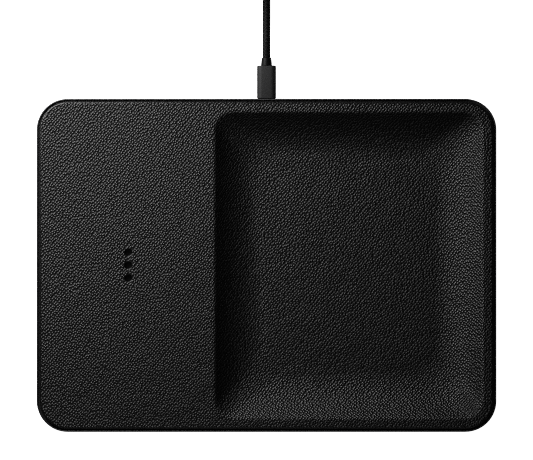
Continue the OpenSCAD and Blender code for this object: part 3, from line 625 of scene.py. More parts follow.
def braid():
    """Woven braid: strands that wind both ways and pass over and under one another."""
    look = bpy.context.scene.part_look
    material, tree, shader = new_material("braid")
    flat = add(tree, "ShaderNodeUVMap", uv_map="grain").outputs["UV"]
    parts = add(tree, "ShaderNodeSeparateXYZ", {"Vector": flat})
    along = maths(tree, "DIVIDE", parts.outputs["X"], look.braid_pitch)
    round_it = maths(tree, "MULTIPLY", parts.outputs["Y"], float(look.braid_strands))
    left = maths(tree, "ADD", round_it, along)
    right = maths(tree, "SUBTRACT", round_it, along)
    left_high = maths(tree, "ABSOLUTE", maths(tree, "SINE", maths(tree, "MULTIPLY", left, math.pi)))
    right_high = maths(tree, "ABSOLUTE", maths(tree, "SINE", maths(tree, "MULTIPLY", right, math.pi)))
    steps = maths(tree, "ADD", maths(tree, "FLOOR", left), maths(tree, "FLOOR", right))
    over = maths(tree, "PINGPONG", steps, 1.0)
    strand = add(tree, "ShaderNodeMix", data_type="FLOAT")
    put(tree, strand.inputs[0], over)
    put(tree, strand.inputs[2], left_high)
    put(tree, strand.inputs[3], right_high)
    height = strand.outputs[0]
    threads = noise(tree, place(tree), 0.00025, 2.0)
    # Painted shade: the braid's colour falls to a quarter where the strands sink between and under one another
    tone = mixed(tree, ramp(tree, height, 0.2, 0.9), shade(look.braid, 0.25), look.braid)
    put(tree, shader.inputs["Base Color"], tone)
    put(tree, shader.inputs["Roughness"], ramp(tree, height, 0.0, 1.0, 0.7, 0.45))
    shader.inputs["Specular IOR Level"].default_value = 0.14
    bumped(tree, shader, maths(tree, "ADD", height, maths(tree, "MULTIPLY", threads, 0.25)), 0.00014)
    return material


def hook_and_loop():
    """Hook and loop strap: a dense fuzz of tiny loops."""
    material, tree, shader = new_material("hook_and_loop")
    where = place(tree)
    loops = add(
        tree, "ShaderNodeTexVoronoi", {"Vector": where, "Scale": 1 / 0.00045}, feature="SMOOTH_F1"
    ).outputs["Distance"]
    rows = noise(tree, where, 0.003, 2.0)
    put(tree, shader.inputs["Base Color"], mixed(tree, loops, (0.03, 0.03, 0.03), (0.006, 0.006, 0.006)))
    put(tree, shader.inputs["Roughness"], ramp(tree, rows, 0.3, 0.7, 0.8, 0.95))
    bumped(tree, shader, loops, 0.0003)
    return material


def finish_node(name, material, round_edges=0.0):
    """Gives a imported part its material, and softens its edges where a radius is given."""
    part = frame["nodes"][name]
    part.data.materials.clear()
    part.data.materials.append(material)
    if round_edges:
        bevel = part.modifiers.new("edges", "BEVEL")
        bevel.width = round_edges
        bevel.segments = 2
        bevel.limit_method = "ANGLE"
        bevel.angle_limit = math.radians(40)


# Mesh helpers


def rounded_ring(w, d, r, x=0.0, y=0.0, corner_steps=CORNER_STEPS, side_steps=SIDE_STEPS):
    """Points round a rectangle with round corners, anticlockwise, always as many for the same steps."""
    points = []
    for q in range(4):
        sx = 1 if q in (0, 3) else -1
        sy = 1 if q < 2 else -1
        for k in range(corner_steps + 1):
            turn = math.pi / 2 * (q + k / corner_steps)
            points.append((
                x + sx * (w / 2 - r) + r * math.cos(turn),
                y + sy * (d / 2 - r) + r * math.sin(turn),
            ))
        nx = 1 if (q + 1) % 4 in (0, 3) else -1
        ny = 1 if (q + 1) % 4 < 2 else -1
        turn = math.pi / 2 * (q + 1)
        here = points[-1]
        there = (x + nx * (w / 2 - r) + r * math.cos(turn), y + ny * (d / 2 - r) + r * math.sin(turn))
        for k in range(1, side_steps):
            t = k / side_steps
            points.append((here[0] + (there[0] - here[0]) * t, here[1] + (there[1] - here[1]) * t))
    return np.array(points)


def circle_ring(x, y, r, steps=40):
    """Points round a circle, anticlockwise."""
    turns = np.linspace(0, 2 * math.pi, steps, endpoint=False)
    return np.stack([x + r * np.cos(turns), y + r * np.sin(turns)], 1)


class Skin:
    """Collects rings and filled areas of one mesh, with a flat layout of every point for its grain."""

    def __init__(self):
        self.points = []
        self.flat = []
        self.faces = []
        self.looks = []

    def ring(self, outline, height, layout=None):
        """Adds a ring of points at one height and returns their numbers."""
        start = len(self.points)
        layout = outline if layout is None else layout
        for (x, y), (u, v) in zip(outline, layout):
            self.points.append((x, y, height))
            self.flat.append((u, v))
        return list(range(start, len(self.points)))

    def bridge(self, outer, inner, look=0):
        """Joins two rings of as many points with four-sided faces."""
        n = len(outer)
        for j in range(n):
            k = (j + 1) % n
            self.faces.append((outer[j], outer[k], inner[k], inner[j]))
            self.looks.append(look)

    def loft(self, rings, look=0):
        """Joins each ring to the next."""
        for outer, inner in zip(rings, rings[1:]):
            self.bridge(outer, inner, look)

    def cap(self, ring, look=0, over=False):
        """Closes a ring with one face. Over turns the face's front to the other side."""
        self.faces.append(tuple(reversed(ring)) if over else tuple(ring))
        self.looks.append(look)

    def fill(self, border, holes, inside, layout, pitch=FILL_PITCH):
        """Fills the area between a border and its holes with even triangles."""
        rings = [border, *holes]
        numbers = [i for ring in rings for i in ring]
        outline = np.array([self.points[i][:2] for i in numbers])
        edges = []
        start = 0
        for ring in rings:
            edges += [(start + j, start + (j + 1) % len(ring)) for j in range(len(ring))]
            start += len(ring)
        height = self.points[border[0]][2]
        low, high = outline.min(0), outline.max(0)
        for x in np.arange(low[0] + pitch / 2, high[0], pitch):
            for y in np.arange(low[1] + pitch / 2, high[1], pitch):
                near = np.hypot(outline[:, 0] - x, outline[:, 1] - y).min()
                if inside(x, y) and near > pitch * 0.4:
                    numbers.append(len(self.points))
                    self.points.append((x, y, height))
                    self.flat.append(layout(x, y))
        spots = [Vector(self.points[i][:2]) for i in numbers]
        _, _, faces, origin, _, _ = delaunay_2d_cdt(spots, edges, [], 0, 1e-9)
        for face in faces:
            found = [numbers[origin[i][0]] for i in face]
            middle = np.mean([self.points[i][:2] for i in found], 0)
            if inside(*middle):
                self.faces.append(tuple(found))
                self.looks.append(0)

    def piece(self, name, materials, sharp=math.radians(35)):
        """Makes the mesh object."""
        mesh = bpy.data.meshes.new(name)
        mesh.from_pydata(self.points, [], self.faces)
        layer = mesh.uv_layers.new(name="grain")
        flat = np.array(self.flat)
        corners = np.zeros(len(mesh.loops), int)
        mesh.loops.foreach_get("vertex_index", corners)
        layer.data.foreach_set("uv", flat[corners].astype(np.float32).ravel())
        for material in materials:
            mesh.materials.append(material)
        mesh.polygons.foreach_set("material_index", self.looks)
        mesh.polygons.foreach_set("use_smooth", [True] * len(mesh.polygons))
        mesh.set_sharp_from_angle(angle=sharp)
        mesh.update()
        made = bpy.data.objects.new(name, mesh)
        bpy.context.scene.collection.objects.link(made)
        return made


def inside_rounded(x, y, w, d, r, cx=0.0, cy=0.0):
    """True if a point lies inside a rectangle with round corners."""
    qx = abs(x - cx) - (w / 2 - r)
    qy = abs(y - cy) - (d / 2 - r)
    return math.hypot(max(qx, 0), max(qy, 0)) + min(max(qx, qy), 0) < r


def end_rounding(radius, steps=5):
    """Pairs of inset and distance from the end for a rounded end, from the end inwards."""
    angles = [math.pi / 2 * k / steps for k in range(steps + 1)]
    return [(radius * (1 - math.sin(a)), radius * (1 - math.cos(a))) for a in angles]


def rounded_bar(name, size, centre, side_r, end_r, materials, corner_steps=8):
    """A bar along Y with a rounded section and rounded ends. Size is width, length and height."""
    w, length, h = size
    skin = Skin()
    rounding = end_rounding(end_r)
    stations = [(-length / 2 + out, inset) for inset, out in rounding]
    stations += [(length / 2 - out, inset) for inset, out in reversed(rounding)]
    rings = []
    for y, inset in stations:
        section = rounded_ring(w - 2 * inset, h - 2 * inset, side_r - inset, 0, 0, corner_steps, 2)
        start = len(skin.points)
        for x, z in section:
            skin.points.append((centre[0] + x, centre[1] + y, centre[2] + z))
            skin.flat.append((x, y))
        rings.append(list(range(start, len(skin.points))))
    skin.loft(rings[::-1])
    skin.cap(rings[0])
    skin.cap(rings[-1], over=True)
    return skin.piece(name, materials)


def turned(name, profile, centre, direction, materials, steps=40):
    """A piece turned about an axis along Y. The profile gives distance along it and radius."""
    skin = Skin()
    rings = []
    for along, radius in profile:
        start = len(skin.points)
        for x, z in circle_ring(0, 0, radius, steps):
            skin.points.append((centre[0] + x, centre[1] + direction * along, centre[2] + z))
            skin.flat.append((x, along))
        rings.append(list(range(start, len(skin.points))))
    if direction > 0:
        rings = rings[::-1]
    skin.loft(rings)
    skin.cap(rings[-1])
    skin.cap(rings[0], over=True)
    return skin.piece(name, materials)


# The leather


class DishShape:
    """The dish's levels, as the part's source has them."""

    def __init__(self, sizes):
        self.s = sizes
        self.x = (sizes.charge_deck - sizes.dish_margin) / 2
        self.w = TRAY_W - sizes.charge_deck - sizes.dish_margin
        self.d = TRAY_D - 2 * sizes.dish_margin
        self.cove_r = (sizes.cove**2 + sizes.dish_depth**2) / (2 * sizes.dish_depth)
        self.cove_z = TRAY_TOP - sizes.dish_depth + self.cove_r
        self.crest_z = TRAY_TOP - sizes.crest
        rise = self.cove_z - self.crest_z
        self.crest_in = sizes.cove - math.sqrt((self.cove_r + sizes.crest) ** 2 - rise**2)
        self.crest_angle = math.atan((sizes.cove - self.crest_in) / rise)

    def corner(self, inset):
        """The plan radius of the corners at a distance in from the top edge."""
        if inset < 0:
            return self.s.crest_corner - inset
        return self.s.crest_corner + (self.s.floor_corner - self.s.crest_corner) * inset / self.s.cove

    def outline(self, inset, layout_inset=None):
        """One level of the dish. The layout may be drawn in by another distance."""
        shown = inset if layout_inset is None else layout_inset
        return rounded_ring(self.w - 2 * shown, self.d - 2 * shown, self.corner(inset), self.x)

    def levels(self):
        """Pairs of inset and height down the wall, from the crest's start to the floor."""
        made = []
        for k in range(CREST_STEPS + 1):
            a = self.crest_angle * k / CREST_STEPS
            made.append((self.crest_in + self.s.crest * math.sin(a), self.crest_z + self.s.crest * math.cos(a)))
        for k in range(1, COVE_STEPS + 1):
            a = self.crest_angle * (1 - k / COVE_STEPS)
            made.append((self.s.cove - self.cove_r * math.sin(a), self.cove_z - self.cove_r * math.cos(a)))
        return made


def leather_edge(skin, sizes):
    """The leather's outer flange and roll. Returns the ring that borders the flat deck."""
    inset = sizes.lip + sizes.groove
    profile = [(inset, TRAY_TOP - sizes.leather - sizes.deck)]
    for k in range(ROLL_STEPS + 1):
        a = math.pi / 2 * k / ROLL_STEPS
        out = inset + sizes.leather_roll * (1 - math.cos(a))
        profile.append((out, TRAY_TOP - sizes.roll_drop * (1 - math.sin(a))))
    profile.append((inset + sizes.leather_roll + GUARD, TRAY_TOP))
    unrolled = [0.0]
    for (a, za), (b, zb) in zip(profile, profile[1:]):
        unrolled.append(unrolled[-1] + math.hypot(b - a, zb - za))
    rings = []
    for (drawn_in, height), length in zip(profile, unrolled):
        flat_in = profile[-1][0] - (unrolled[-1] - length)
        rings.append(skin.ring(
            rounded_ring(TRAY_W - 2 * drawn_in, TRAY_D - 2 * drawn_in, sizes.corner - drawn_in),
            height,
            rounded_ring(TRAY_W - 2 * flat_in, TRAY_D - 2 * flat_in, sizes.corner - flat_in),
        ))
    # The rolled edge takes the paler rolled leather: a painted sheen
    skin.loft(rings[:-1], look=2)
    skin.loft(rings[-2:])
    return rings[-1], profile[-1][0]


def leather_dish(skin, dish):
    """The dish's crest, coved wall and floor. Returns the ring that borders the flat deck."""
    levels = dish.levels()
    levels = [(levels[0][0] - GUARD, levels[0][1]), *levels]
    levels.append((levels[-1][0] + GUARD, levels[-1][1]))
    rings = []
    length = levels[0][0]
    before = levels[0]
    for inset, height in levels:
        length += math.hypot(inset - before[0], height - before[1])
        before = (inset, height)
        rings.append(skin.ring(dish.outline(inset), height, dish.outline(inset, length)))
    skin.loft(rings)
    inset = levels[-1][0]
    squeeze_x = (dish.w / 2 - length) / (dish.w / 2 - inset)
    squeeze_y = (dish.d / 2 - length) / (dish.d / 2 - inset)

    def in_floor(x, y):
        return inside_rounded(x, y, dish.w - 2 * inset, dish.d - 2 * inset, dish.corner(inset), dish.x)

    def floor_layout(x, y):
        return (dish.x + (x - dish.x) * squeeze_x, y * squeeze_y)

    skin.fill(rings[-1], [], in_floor, floor_layout)
    return rings[0], levels[0][0]


def leather_dimple(skin, sizes, y):
    """One pressed dimple. Returns the ring that borders the flat deck."""
    r = sizes.mark / 2
    soft = sizes.mark_depth * 0.7
    tight = sizes.mark_depth * 0.15
    levels = [(r + soft + GUARD, 0.0)]
    for k in range(5):
        a = math.pi / 2 * k / 4
        levels.append((r + soft * (1 - math.sin(a)), -soft * (1 - math.cos(a))))
    for k in range(5):
        a = math.pi / 2 * k / 4
        levels.append((r - tight * (1 - math.cos(a)), -sizes.mark_depth + tight * (1 - math.sin(a))))
    rings = [skin.ring(circle_ring(CHARGE_X, y, out), TRAY_TOP + down) for out, down in levels]
    skin.loft(rings[:2])
    # The dimple's rim takes the paler rolled leather as a painted sheen, and its lower wall and floor take the
    # darker pressed leather as painted shade
    skin.loft(rings[1:6], look=2)
    skin.loft(rings[5:], look=1)
    skin.cap(rings[-1], look=1)
    return rings[0], levels[0][0]


class TRAY_OT_leather(bpy.types.Operator):
    """Makes the leather skin with its rolled edge, its dish and its dimples"""

    bl_idname = "charging_tray.leather"
    bl_label = "Leather"

    def execute(self, context):
        sizes = context.scene.tray_sizes
        dish = DishShape(sizes)
        skin = Skin()
        border, border_in = leather_edge(skin, sizes)
        dish_ring, dish_in = leather_dish(skin, dish)
        marks = [k * sizes.mark_pitch for k in (-1, 0, 1)]
        dimples = [leather_dimple(skin, sizes, y) for y in marks]

        def on_deck(x, y):
            on_tray = inside_rounded(
                x, y, TRAY_W - 2 * border_in, TRAY_D - 2 * border_in, sizes.corner - border_in
            )
            in_dish = inside_rounded(
                x, y, dish.w - 2 * dish_in, dish.d - 2 * dish_in, dish.corner(dish_in), dish.x
            )
            in_mark = any(math.hypot(x - CHARGE_X, y - m) < dimples[0][1] for m in marks)
            return on_tray and not in_dish and not in_mark

        skin.fill(border, [dish_ring, *(d[0] for d in dimples)], on_deck, lambda x, y: (x, y))
        # The pressed leather in the dimples is a darker copy, painted shade; the rolled leather on the edges is
        # three times paler, a painted sheen
        looks = [
            leather("pebbled_leather"),
            leather("pressed_leather_painted_shade", 0.05, 0.5),
            leather("rolled_leather_painted_sheen", 0.35, 3.0),
        ]
        made = skin.piece("leather_skin", looks)
        thick = made.modifiers.new("thickness", "SOLIDIFY")
        thick.thickness = sizes.leather * 0.95
        thick.offset = -1
        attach(made, "tray")
        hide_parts("leather_cover")
        return {"FINISHED"}


# The frame and the case


def frame_section(sizes):
    """The frame's section as pairs of inset and height, anticlockwise."""
    top = frame_high.z
    low = frame_low.z
    shelf = TRAY_TOP - sizes.leather - sizes.deck
    inner_r = sizes.lip_round * 0.5
    points = []
    for k in range(9):
        a = math.pi / 2 * k / 8
        points.append((FOOT_R * (1 - math.sin(a)), low + FOOT_R * (1 - math.cos(a))))
    points.reverse()
    points += [(FOOT_IN, low), (FOOT_IN, low + PAN_LIP), (WEB_IN, low + PAN_LIP), (WEB_IN, low + PAN_LIP + WEB_T)]
    points += [(WALL, low + PAN_LIP + WEB_T + WEB_SLOPE), (WALL, shelf - GUSSET), (SHELF_IN, shelf - SHELF_T)]
    points += [(SHELF_IN, shelf), (sizes.lip, shelf)]
    for k in range(4):
        a = math.pi / 2 * k / 3
        points.append((sizes.lip - inner_r * (1 - math.cos(a)), top - inner_r * (1 - math.sin(a))))
    for k in range(5):
        a = math.pi / 2 * k / 4
        points.append((sizes.lip_round * (1 - math.sin(a)), top - sizes.lip_round * (1 - math.cos(a))))
    return points


class TRAY_OT_frame(bpy.types.Operator):
    """Makes the frame with its rounded lip, its groove and the opening for the plug"""

    bl_idname = "charging_tray.frame"
    bl_label = "Frame"

    def execute(self, context):
        sizes = context.scene.tray_sizes
        skin = Skin()
        section = frame_section(sizes)
        rings = [
            skin.ring(
                rounded_ring(TRAY_W - 2 * inset, TRAY_D - 2 * inset, sizes.corner - inset), height
            )
            for inset, height in section
        ]
        for outer, inner in zip(rings, rings[1:] + rings[:1]):
            skin.bridge(inner, outer)
        made = skin.piece("frame_rim", [powder_coat()])
        cut_opening(made, frame["nodes"]["port_shell"])
        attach(made, "tray")
        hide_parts("rim_frame")
        return {"FINISHED"}


def cut_opening(rim, port):
    """Cuts the port's rounded opening, with a small lead-in, and the pocket for its board."""
    port_low, port_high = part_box(port.name)
    board_low, board_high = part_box("port_board")
    gap = 0.00035
    lead_in = 0.00025
    w = port_high.x - port_low.x + 2 * gap
    h = port_high.z - port_low.z + 2 * gap
    rear = frame_high.y
    cutter = Skin()
    stations = [(rear - 2 * WALL, 0.0), (rear - lead_in, 0.0), (rear, lead_in), (rear + 0.001, lead_in)]
    rings = []
    for y, flare in stations:
        section = rounded_ring(w + 2 * flare, h + 2 * flare, (h / 2 + flare) * 0.995, 0, 0, 10, 2)
        start = len(cutter.points)
        for x, z in section:
            cutter.points.append((x, y, PORT_Z + z))
            cutter.flat.append((x, z))
        rings.append(list(range(start, len(cutter.points))))
    cutter.loft(rings[::-1])
    cutter.cap(rings[0])
    cutter.cap(rings[-1], over=True)
    slot = cutter.piece("slot_cutter", [])
    pocket = Skin()
    middle = (board_low.x + board_high.x) / 2
    outline = rounded_ring(
        board_high.x - board_low.x + 0.002, 0.0052, 0.0005, middle, rear - WALL - 0.0026, 3, 2
    )
    floor = pocket.ring(outline, board_low.z - 0.0002)
    roof = pocket.ring(outline, board_low.z - 0.0002 + PORT_Z)
    pocket.bridge(floor, roof)
    pocket.cap(roof)
    pocket.cap(floor, over=True)
    box = pocket.piece("pocket_cutter", [])
    for cutter_object in (slot, box):
        cut = rim.modifiers.new("cut", "BOOLEAN")
        cut.operation = "DIFFERENCE"
        cut.solver = "EXACT"
        cut.object = cutter_object
    bake_modifiers(rim)
    bpy.data.objects.remove(slot)
    bpy.data.objects.remove(box)
    rim.data.set_sharp_from_angle(angle=math.radians(35))


def bake_modifiers(piece):
    """Applies a piece's modifiers to its mesh."""
    graph = bpy.context.evaluated_depsgraph_get()
    result = bpy.data.meshes.new_from_object(piece.evaluated_get(graph))
    piece.modifiers.clear()
    piece.data = result


class TRAY_OT_case(bpy.types.Operator):
    """Makes the non-slip pad and finishes the deck shell, the base pan and the screws"""

    bl_idname = "charging_tray.case"
    bl_label = "Case"

    def execute(self, context):
        sizes = context.scene.tray_sizes
        look = context.scene.part_look
        w = pad_high.x - pad_low.x
        d = pad_high.y - pad_low.y
        r = sizes.corner - (TRAY_W - w) / 2
        soft = 0.0004
        skin = Skin()
        levels = [(soft * (1 - math.sin(a)), pad_low.z + soft * (1 - math.cos(a))) for a in
                  [math.pi / 2 * k / 4 for k in range(5)]]
        rings = [skin.ring(rounded_ring(w - 2 * i, d - 2 * i, r - i), z) for i, z in levels]
        rings.append(skin.ring(rounded_ring(w, d, r), pad_high.z))
        skin.loft(rings)
        skin.cap(rings[-1])
        skin.cap(rings[0], over=True)
        made = skin.piece("foot_pad", [silicone()])
        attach(made, "tray")
        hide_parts("grip_pad")
        finish_node("deck_shell", moulded("deck_moulding", look.shell))
        finish_node("base_pan", moulded("pan_moulding", look.shell, 0.0005, 0.55, 0.00004))
        zinc = metal("zinc_plate", (0.55, 0.56, 0.58), 0.32)
        for name in ("case_screws", "carrier_screws", "board_screws", "port_screws"):
            finish_node(name, zinc, 0.00015)
        return {"FINISHED"}


class TRAY_OT_coils(bpy.types.Operator):
    """Finishes the charging coils, their carrier, the ferrite and the sensor"""

    bl_idname = "charging_tray.coils"
    bl_label = "Charging Coils"

    def execute(self, context):
        look = context.scene.part_look
        for name in ("centre_coil", "front_coil", "rear_coil"):
            low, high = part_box(name)
            finish_node(name, litz("litz_" + name, (low.y + high.y) / 2))
        finish_node("coil_carrier", moulded("carrier_moulding", look.plug, 0.0004, 0.5))
        finish_node("ferrite_sheet", ferrite("ferrite_plate"))
        finish_node("coil_sensor", moulded("sensor_bead", (0.01, 0.01, 0.012), 0.001, 0.22), 0.0004)
        return {"FINISHED"}


class TRAY_OT_boards(bpy.types.Operator):
    """Finishes the two boards, what is soldered on them, and the cable between them"""

    bl_idname = "charging_tray.boards"
    bl_label = "Boards"

    def execute(self, context):
        mask = solder_mask()
        epoxy = moulded("chip_epoxy", (0.016, 0.016, 0.017), 0.0002, 0.55)
        nylon = moulded("socket_nylon", (0.72, 0.71, 0.66), 0.0006, 0.42)
        finish_node("main_board", mask)
        finish_node("port_board", mask)
        finish_node("controller_chip", epoxy, 0.00012)
        finish_node("power_switches", epoxy, 0.00012)
        finish_node("tuning_capacitors", ceramic("capacitor_ceramic", capacitor_low.x, capacitor_high.x), 0.0002)
        finish_node("supply_inductor", ferrite("inductor_core", (0.05, 0.048, 0.05)), 0.0003)
        finish_node("shield_can", metal("tinned_can", (0.66, 0.67, 0.68), 0.28), 0.00015)
        finish_node("board_socket", nylon, 0.00012)
        finish_node("port_socket", nylon, 0.00012)
        finish_node("link_cable", moulded("cable_jacket", (0.02, 0.02, 0.022), 0.0008, 0.4))
        return {"FINISHED"}


class TRAY_OT_port(bpy.types.Operator):
    """Finishes the port in the rear edge"""

    bl_idname = "charging_tray.port"
    bl_label = "Port"

    def execute(self, context):
        finish_node("port_shell", metal("drawn_port_shell", (0.6, 0.6, 0.6), 0.26, 0.9))
        finish_node("port_tongue", moulded("port_insulator", (0.012, 0.012, 0.013), 0.0004, 0.35))
        return {"FINISHED"}


# The plugs and the cord


class TRAY_OT_plug(bpy.types.Operator):
    """Makes the plug's moulded grip and strain relief, and finishes its shell and core"""

    bl_idname = "charging_tray.plug"
    bl_label = "Plug"

    def execute(self, context):
        look = context.scene.part_look
        mould = moulded("plug_moulding", look.plug, 0.00045, 0.6, 0.000015, 0.45)
        soft = moulded("plug_elastomer", shade(look.plug, 0.3), 0.00045, 0.42, 0.000015, 0.12)
        size = grip_high - grip_low + Vector((GRIP_WIDER, GRIP_OVER, 0))
        middle = (grip_high + grip_low + Vector((0, GRIP_OVER, 0))) / 2
        grip = rounded_bar("plug_body", size, middle, 0.0028, 0.0007, [mould])
        length = relief_high.y - relief_low.y - GRIP_OVER
        front_r = (relief_high.z - relief_low.z) / 2 + RELIEF_SWELL
        rear_r = CORD_D / 2 + 0.0006
        edge = 0.0003
        profile = [(0, front_r), (length - edge * 2, rear_r + edge / 2)]
        profile += [(length - edge * (1 - math.sin(a)), rear_r - edge * (1 - math.cos(a))) for a in
                    [math.pi / 2 * k / 4 for k in range(5)]]
        sleeve = turned("plug_sleeve", profile, (middle.x, relief_low.y + GRIP_OVER, PORT_Z), 1, [soft])
        for piece, node in ((grip, "plug_grip"), (sleeve, "plug_relief")):
            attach(piece, "supply_cord")
            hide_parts(node)
        finish_node("plug_shell", metal("drawn_plug_shell", (0.62, 0.62, 0.62), 0.24, 0.9))
        finish_node("plug_core", moulded("plug_insulator", (0.012, 0.012, 0.013), 0.0004, 0.35))
        return {"FINISHED"}


class TRAY_OT_supply_plug(bpy.types.Operator):
    """Makes the grip and strain relief of the plug on the far end, and finishes its shell and tongue"""

    bl_idname = "charging_tray.supply_plug"
    bl_label = "Supply Plug"

    def execute(self, context):
        look = context.scene.part_look
        mould = moulded("supply_moulding", look.plug, 0.00045, 0.6, 0.000015, 0.45)
        size = far_grip_high - far_grip_low
        middle = (far_grip_high + far_grip_low) / 2
        grip = rounded_bar("supply_body", size, middle, 0.0022, 0.0009, [mould])
        length = far_relief_high.y - far_relief_low.y
        front_r = (far_relief_high.z - far_relief_low.z) / 2
        rear_r = CORD_D / 2 + 0.0004
        profile = [(0.0, rear_r - 0.0002), (0.0002, rear_r)]
        for k in range(1, 13):
            share = k / 12
            dip = 0.0003 if k % 3 == 2 and k < 12 else 0.0
            profile.append((length * share, rear_r + (front_r - rear_r) * share - dip))
        sleeve = turned("supply_sleeve", profile, (middle.x, far_relief_high.y, middle.z), -1, [mould])
        for piece, node in ((grip, "supply_grip"), (sleeve, "supply_relief")):
            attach(piece, "supply_cord")
            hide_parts(node)
        finish_node("supply_shell", metal("drawn_supply_shell", (0.62, 0.62, 0.62), 0.24, 0.9), 0.0001)
        finish_node("supply_tongue", moulded("supply_insulator", (0.75, 0.75, 0.72), 0.0004, 0.4))
        return {"FINISHED"}


def on_curve(a, b, c, d, t):
    """A point between b and c on a smooth curve through four points."""
    return 0.5 * (2 * b + (c - a) * t + (2 * a - 5 * b + 4 * c - d) * t * t + (3 * b - a - 3 * c + d) * t**3)


def smooth_route(route, steps=24):
    """A smooth curve through a route, whose first and last stretches are straight."""
    p = [np.array(q, float) for q in route]
    made = [p[0] + (p[1] - p[0]) * k / steps for k in range(steps)]
    for i in range(1, len(p) - 2):
        made += [on_curve(p[i - 1], p[i], p[i + 1], p[i + 2], k / steps) for k in range(steps)]
    made += [p[-2] + (p[-1] - p[-2]) * k / steps for k in range(steps + 1)]
    return made


def coil_point(turn):
    """A point of the stored coil after a number of turns."""
    part = turn % (2 * TURNS_ACROSS)
    drawn_in = TURN_PITCH * (part if part < TURNS_ACROSS else 2 * TURNS_ACROSS - part)
    up = 0.0
    for k in range(1, COIL_LAYERS):
        s = min(max((turn - k * TURNS_ACROSS + CLIMB_TURNS / 2) / CLIMB_TURNS, 0.0), 1.0)
        up += LAYER_RISE * s * s * (3 - 2 * s)
    r = COIL_OUT_R - drawn_in
    a = 2 * math.pi * turn
    return np.array((COIL_X + r * math.cos(a), COIL_ENTRY[1] + r * math.sin(a), COIL_ENTRY[2] + up))


def cord_line():
    """The whole cord's centreline in even steps, from the plug to the far plug."""
    loops = COIL_LAYERS * TURNS_ACROSS
    per_turn = 240
    points = smooth_route(CORD_ROUTE)
    points += [coil_point(k / per_turn) for k in range(loops * per_turn + 1)]
    points += smooth_route(TAIL_ROUTE)
    points = np.array(points)
    gaps = np.linalg.norm(np.diff(points, axis=0), axis=1)
    points = points[np.concatenate([[True], gaps > 1e-7])]
    lengths = np.concatenate([[0], np.cumsum(np.linalg.norm(np.diff(points, axis=0), axis=1))])
    count = int(lengths[-1] / CORD_STEP)
    even = np.linspace(0, lengths[-1], count + 1)
    line = np.stack([np.interp(even, lengths, points[:, i]) for i in range(3)], 1)
    return line, lengths[-1]


def cord_tube(line, material):
    """A tube round the centreline, with a layout along and round it for the braid."""
    ahead = np.gradient(line, axis=0)
    ahead /= np.linalg.norm(ahead, axis=1)[:, None]
    side = np.cross(ahead, (0, 0, 1))
    side /= np.linalg.norm(side, axis=1)[:, None]
    up = np.cross(side, ahead)
    turns = np.linspace(0, 2 * math.pi, CORD_SIDES, endpoint=False)
    r = CORD_D / 2 + BRAID_OVER
    spokes = side[:, None] * np.cos(turns)[None, :, None] + up[:, None] * np.sin(turns)[None, :, None]
    points = (line[:, None] + r * spokes).reshape(-1, 3)
    n = len(line)
    i, j = np.meshgrid(np.arange(n - 1), np.arange(CORD_SIDES), indexing="ij")
    k = (j + 1) % CORD_SIDES
    faces = np.stack([
        i * CORD_SIDES + j, i * CORD_SIDES + k, (i + 1) * CORD_SIDES + k, (i + 1) * CORD_SIDES + j,
    ], -1).reshape(-1, 4)
    far = (n - 1) * CORD_SIDES
    ends = [tuple(range(CORD_SIDES)), tuple(far + q for q in reversed(range(CORD_SIDES)))]
    mesh = bpy.data.meshes.new("braided_cord")
    mesh.from_pydata(points.tolist(), [], [tuple(f[::-1]) for f in faces.tolist()] + ends)
    layer = mesh.uv_layers.new(name="grain")
    along = (i * CORD_STEP).ravel()
    round_it = (j / CORD_SIDES).ravel()
    step = 1 / CORD_SIDES
    corners = np.stack([
        np.stack([along + CORD_STEP, round_it], 1), np.stack([along + CORD_STEP, round_it + step], 1),
        np.stack([along, round_it + step], 1), np.stack([along, round_it], 1),
    ], 1).reshape(-1, 2)
    layout = np.zeros((len(mesh.loops), 2), np.float32)
    layout[: len(corners)] = corners
    layer.data.foreach_set("uv", layout.ravel())
    mesh.polygons.foreach_set("use_smooth", [True] * len(mesh.polygons))
    mesh.materials.append(material)
    mesh.update()
    made = bpy.data.objects.new("braided_cord", mesh)
    bpy.context.scene.collection.objects.link(made)
    return made


def strap():
    """The hook and loop tie round the coil's bundle."""
    t = 0.0008
    w = tie_high.y - tie_low.y
    outer_w = tie_high.x - tie_low.x
    outer_h = tie_high.z - tie_low.z
    corner = 0.0024
    x = (tie_low.x + tie_high.x) / 2
    z = (tie_low.z + tie_high.z) / 2
    soft = 0.0002
    skin = Skin()
    loop = []
    for inset in (0.0, t):
        for half, drawn in ((-w / 2, soft), (-w / 2 + soft, 0.0), (w / 2 - soft, 0.0), (w / 2, soft)):
            shift = drawn if inset == 0.0 else -drawn
            ring = rounded_ring(
                outer_w - 2 * (inset + shift), outer_h - 2 * (inset + shift), corner - inset - shift, 0, 0, 8, 8
            )
            start = len(skin.points)
            for a, b in ring:
                skin.points.append((x + a, (tie_low.y + tie_high.y) / 2 + half, z + b))
                skin.flat.append((a, half))
            loop.append(list(range(start, len(skin.points))))
    outer, inner = loop[:4], loop[4:]
    order = outer + inner[::-1]
    for a, b in zip(order, order[1:] + order[:1]):
        skin.bridge(b, a)
    return skin.piece("coil_strap", [hook_and_loop()])


class TRAY_OT_cord(bpy.types.Operator):
    """Makes the braided cord in one length, with its stored coil, and the strap round the coil"""

    bl_idname = "charging_tray.cord"
    bl_label = "Cord"

    def execute(self, context):
        line, length = cord_line()
        made = cord_tube(line, braid())
        tie = strap()
        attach(made, "supply_cord")
        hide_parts("cord", "cord_coil", "cord_tail")
        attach(tie, "supply_cord")
        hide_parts("cord_tie")
        return {"FINISHED"}


# The studio


def look_at(item, target):
    """Turns a camera or light so that it faces a point."""
    away = Vector(target) - item.location
    item.rotation_euler = away.to_track_quat("-Z", "Y").to_euler()


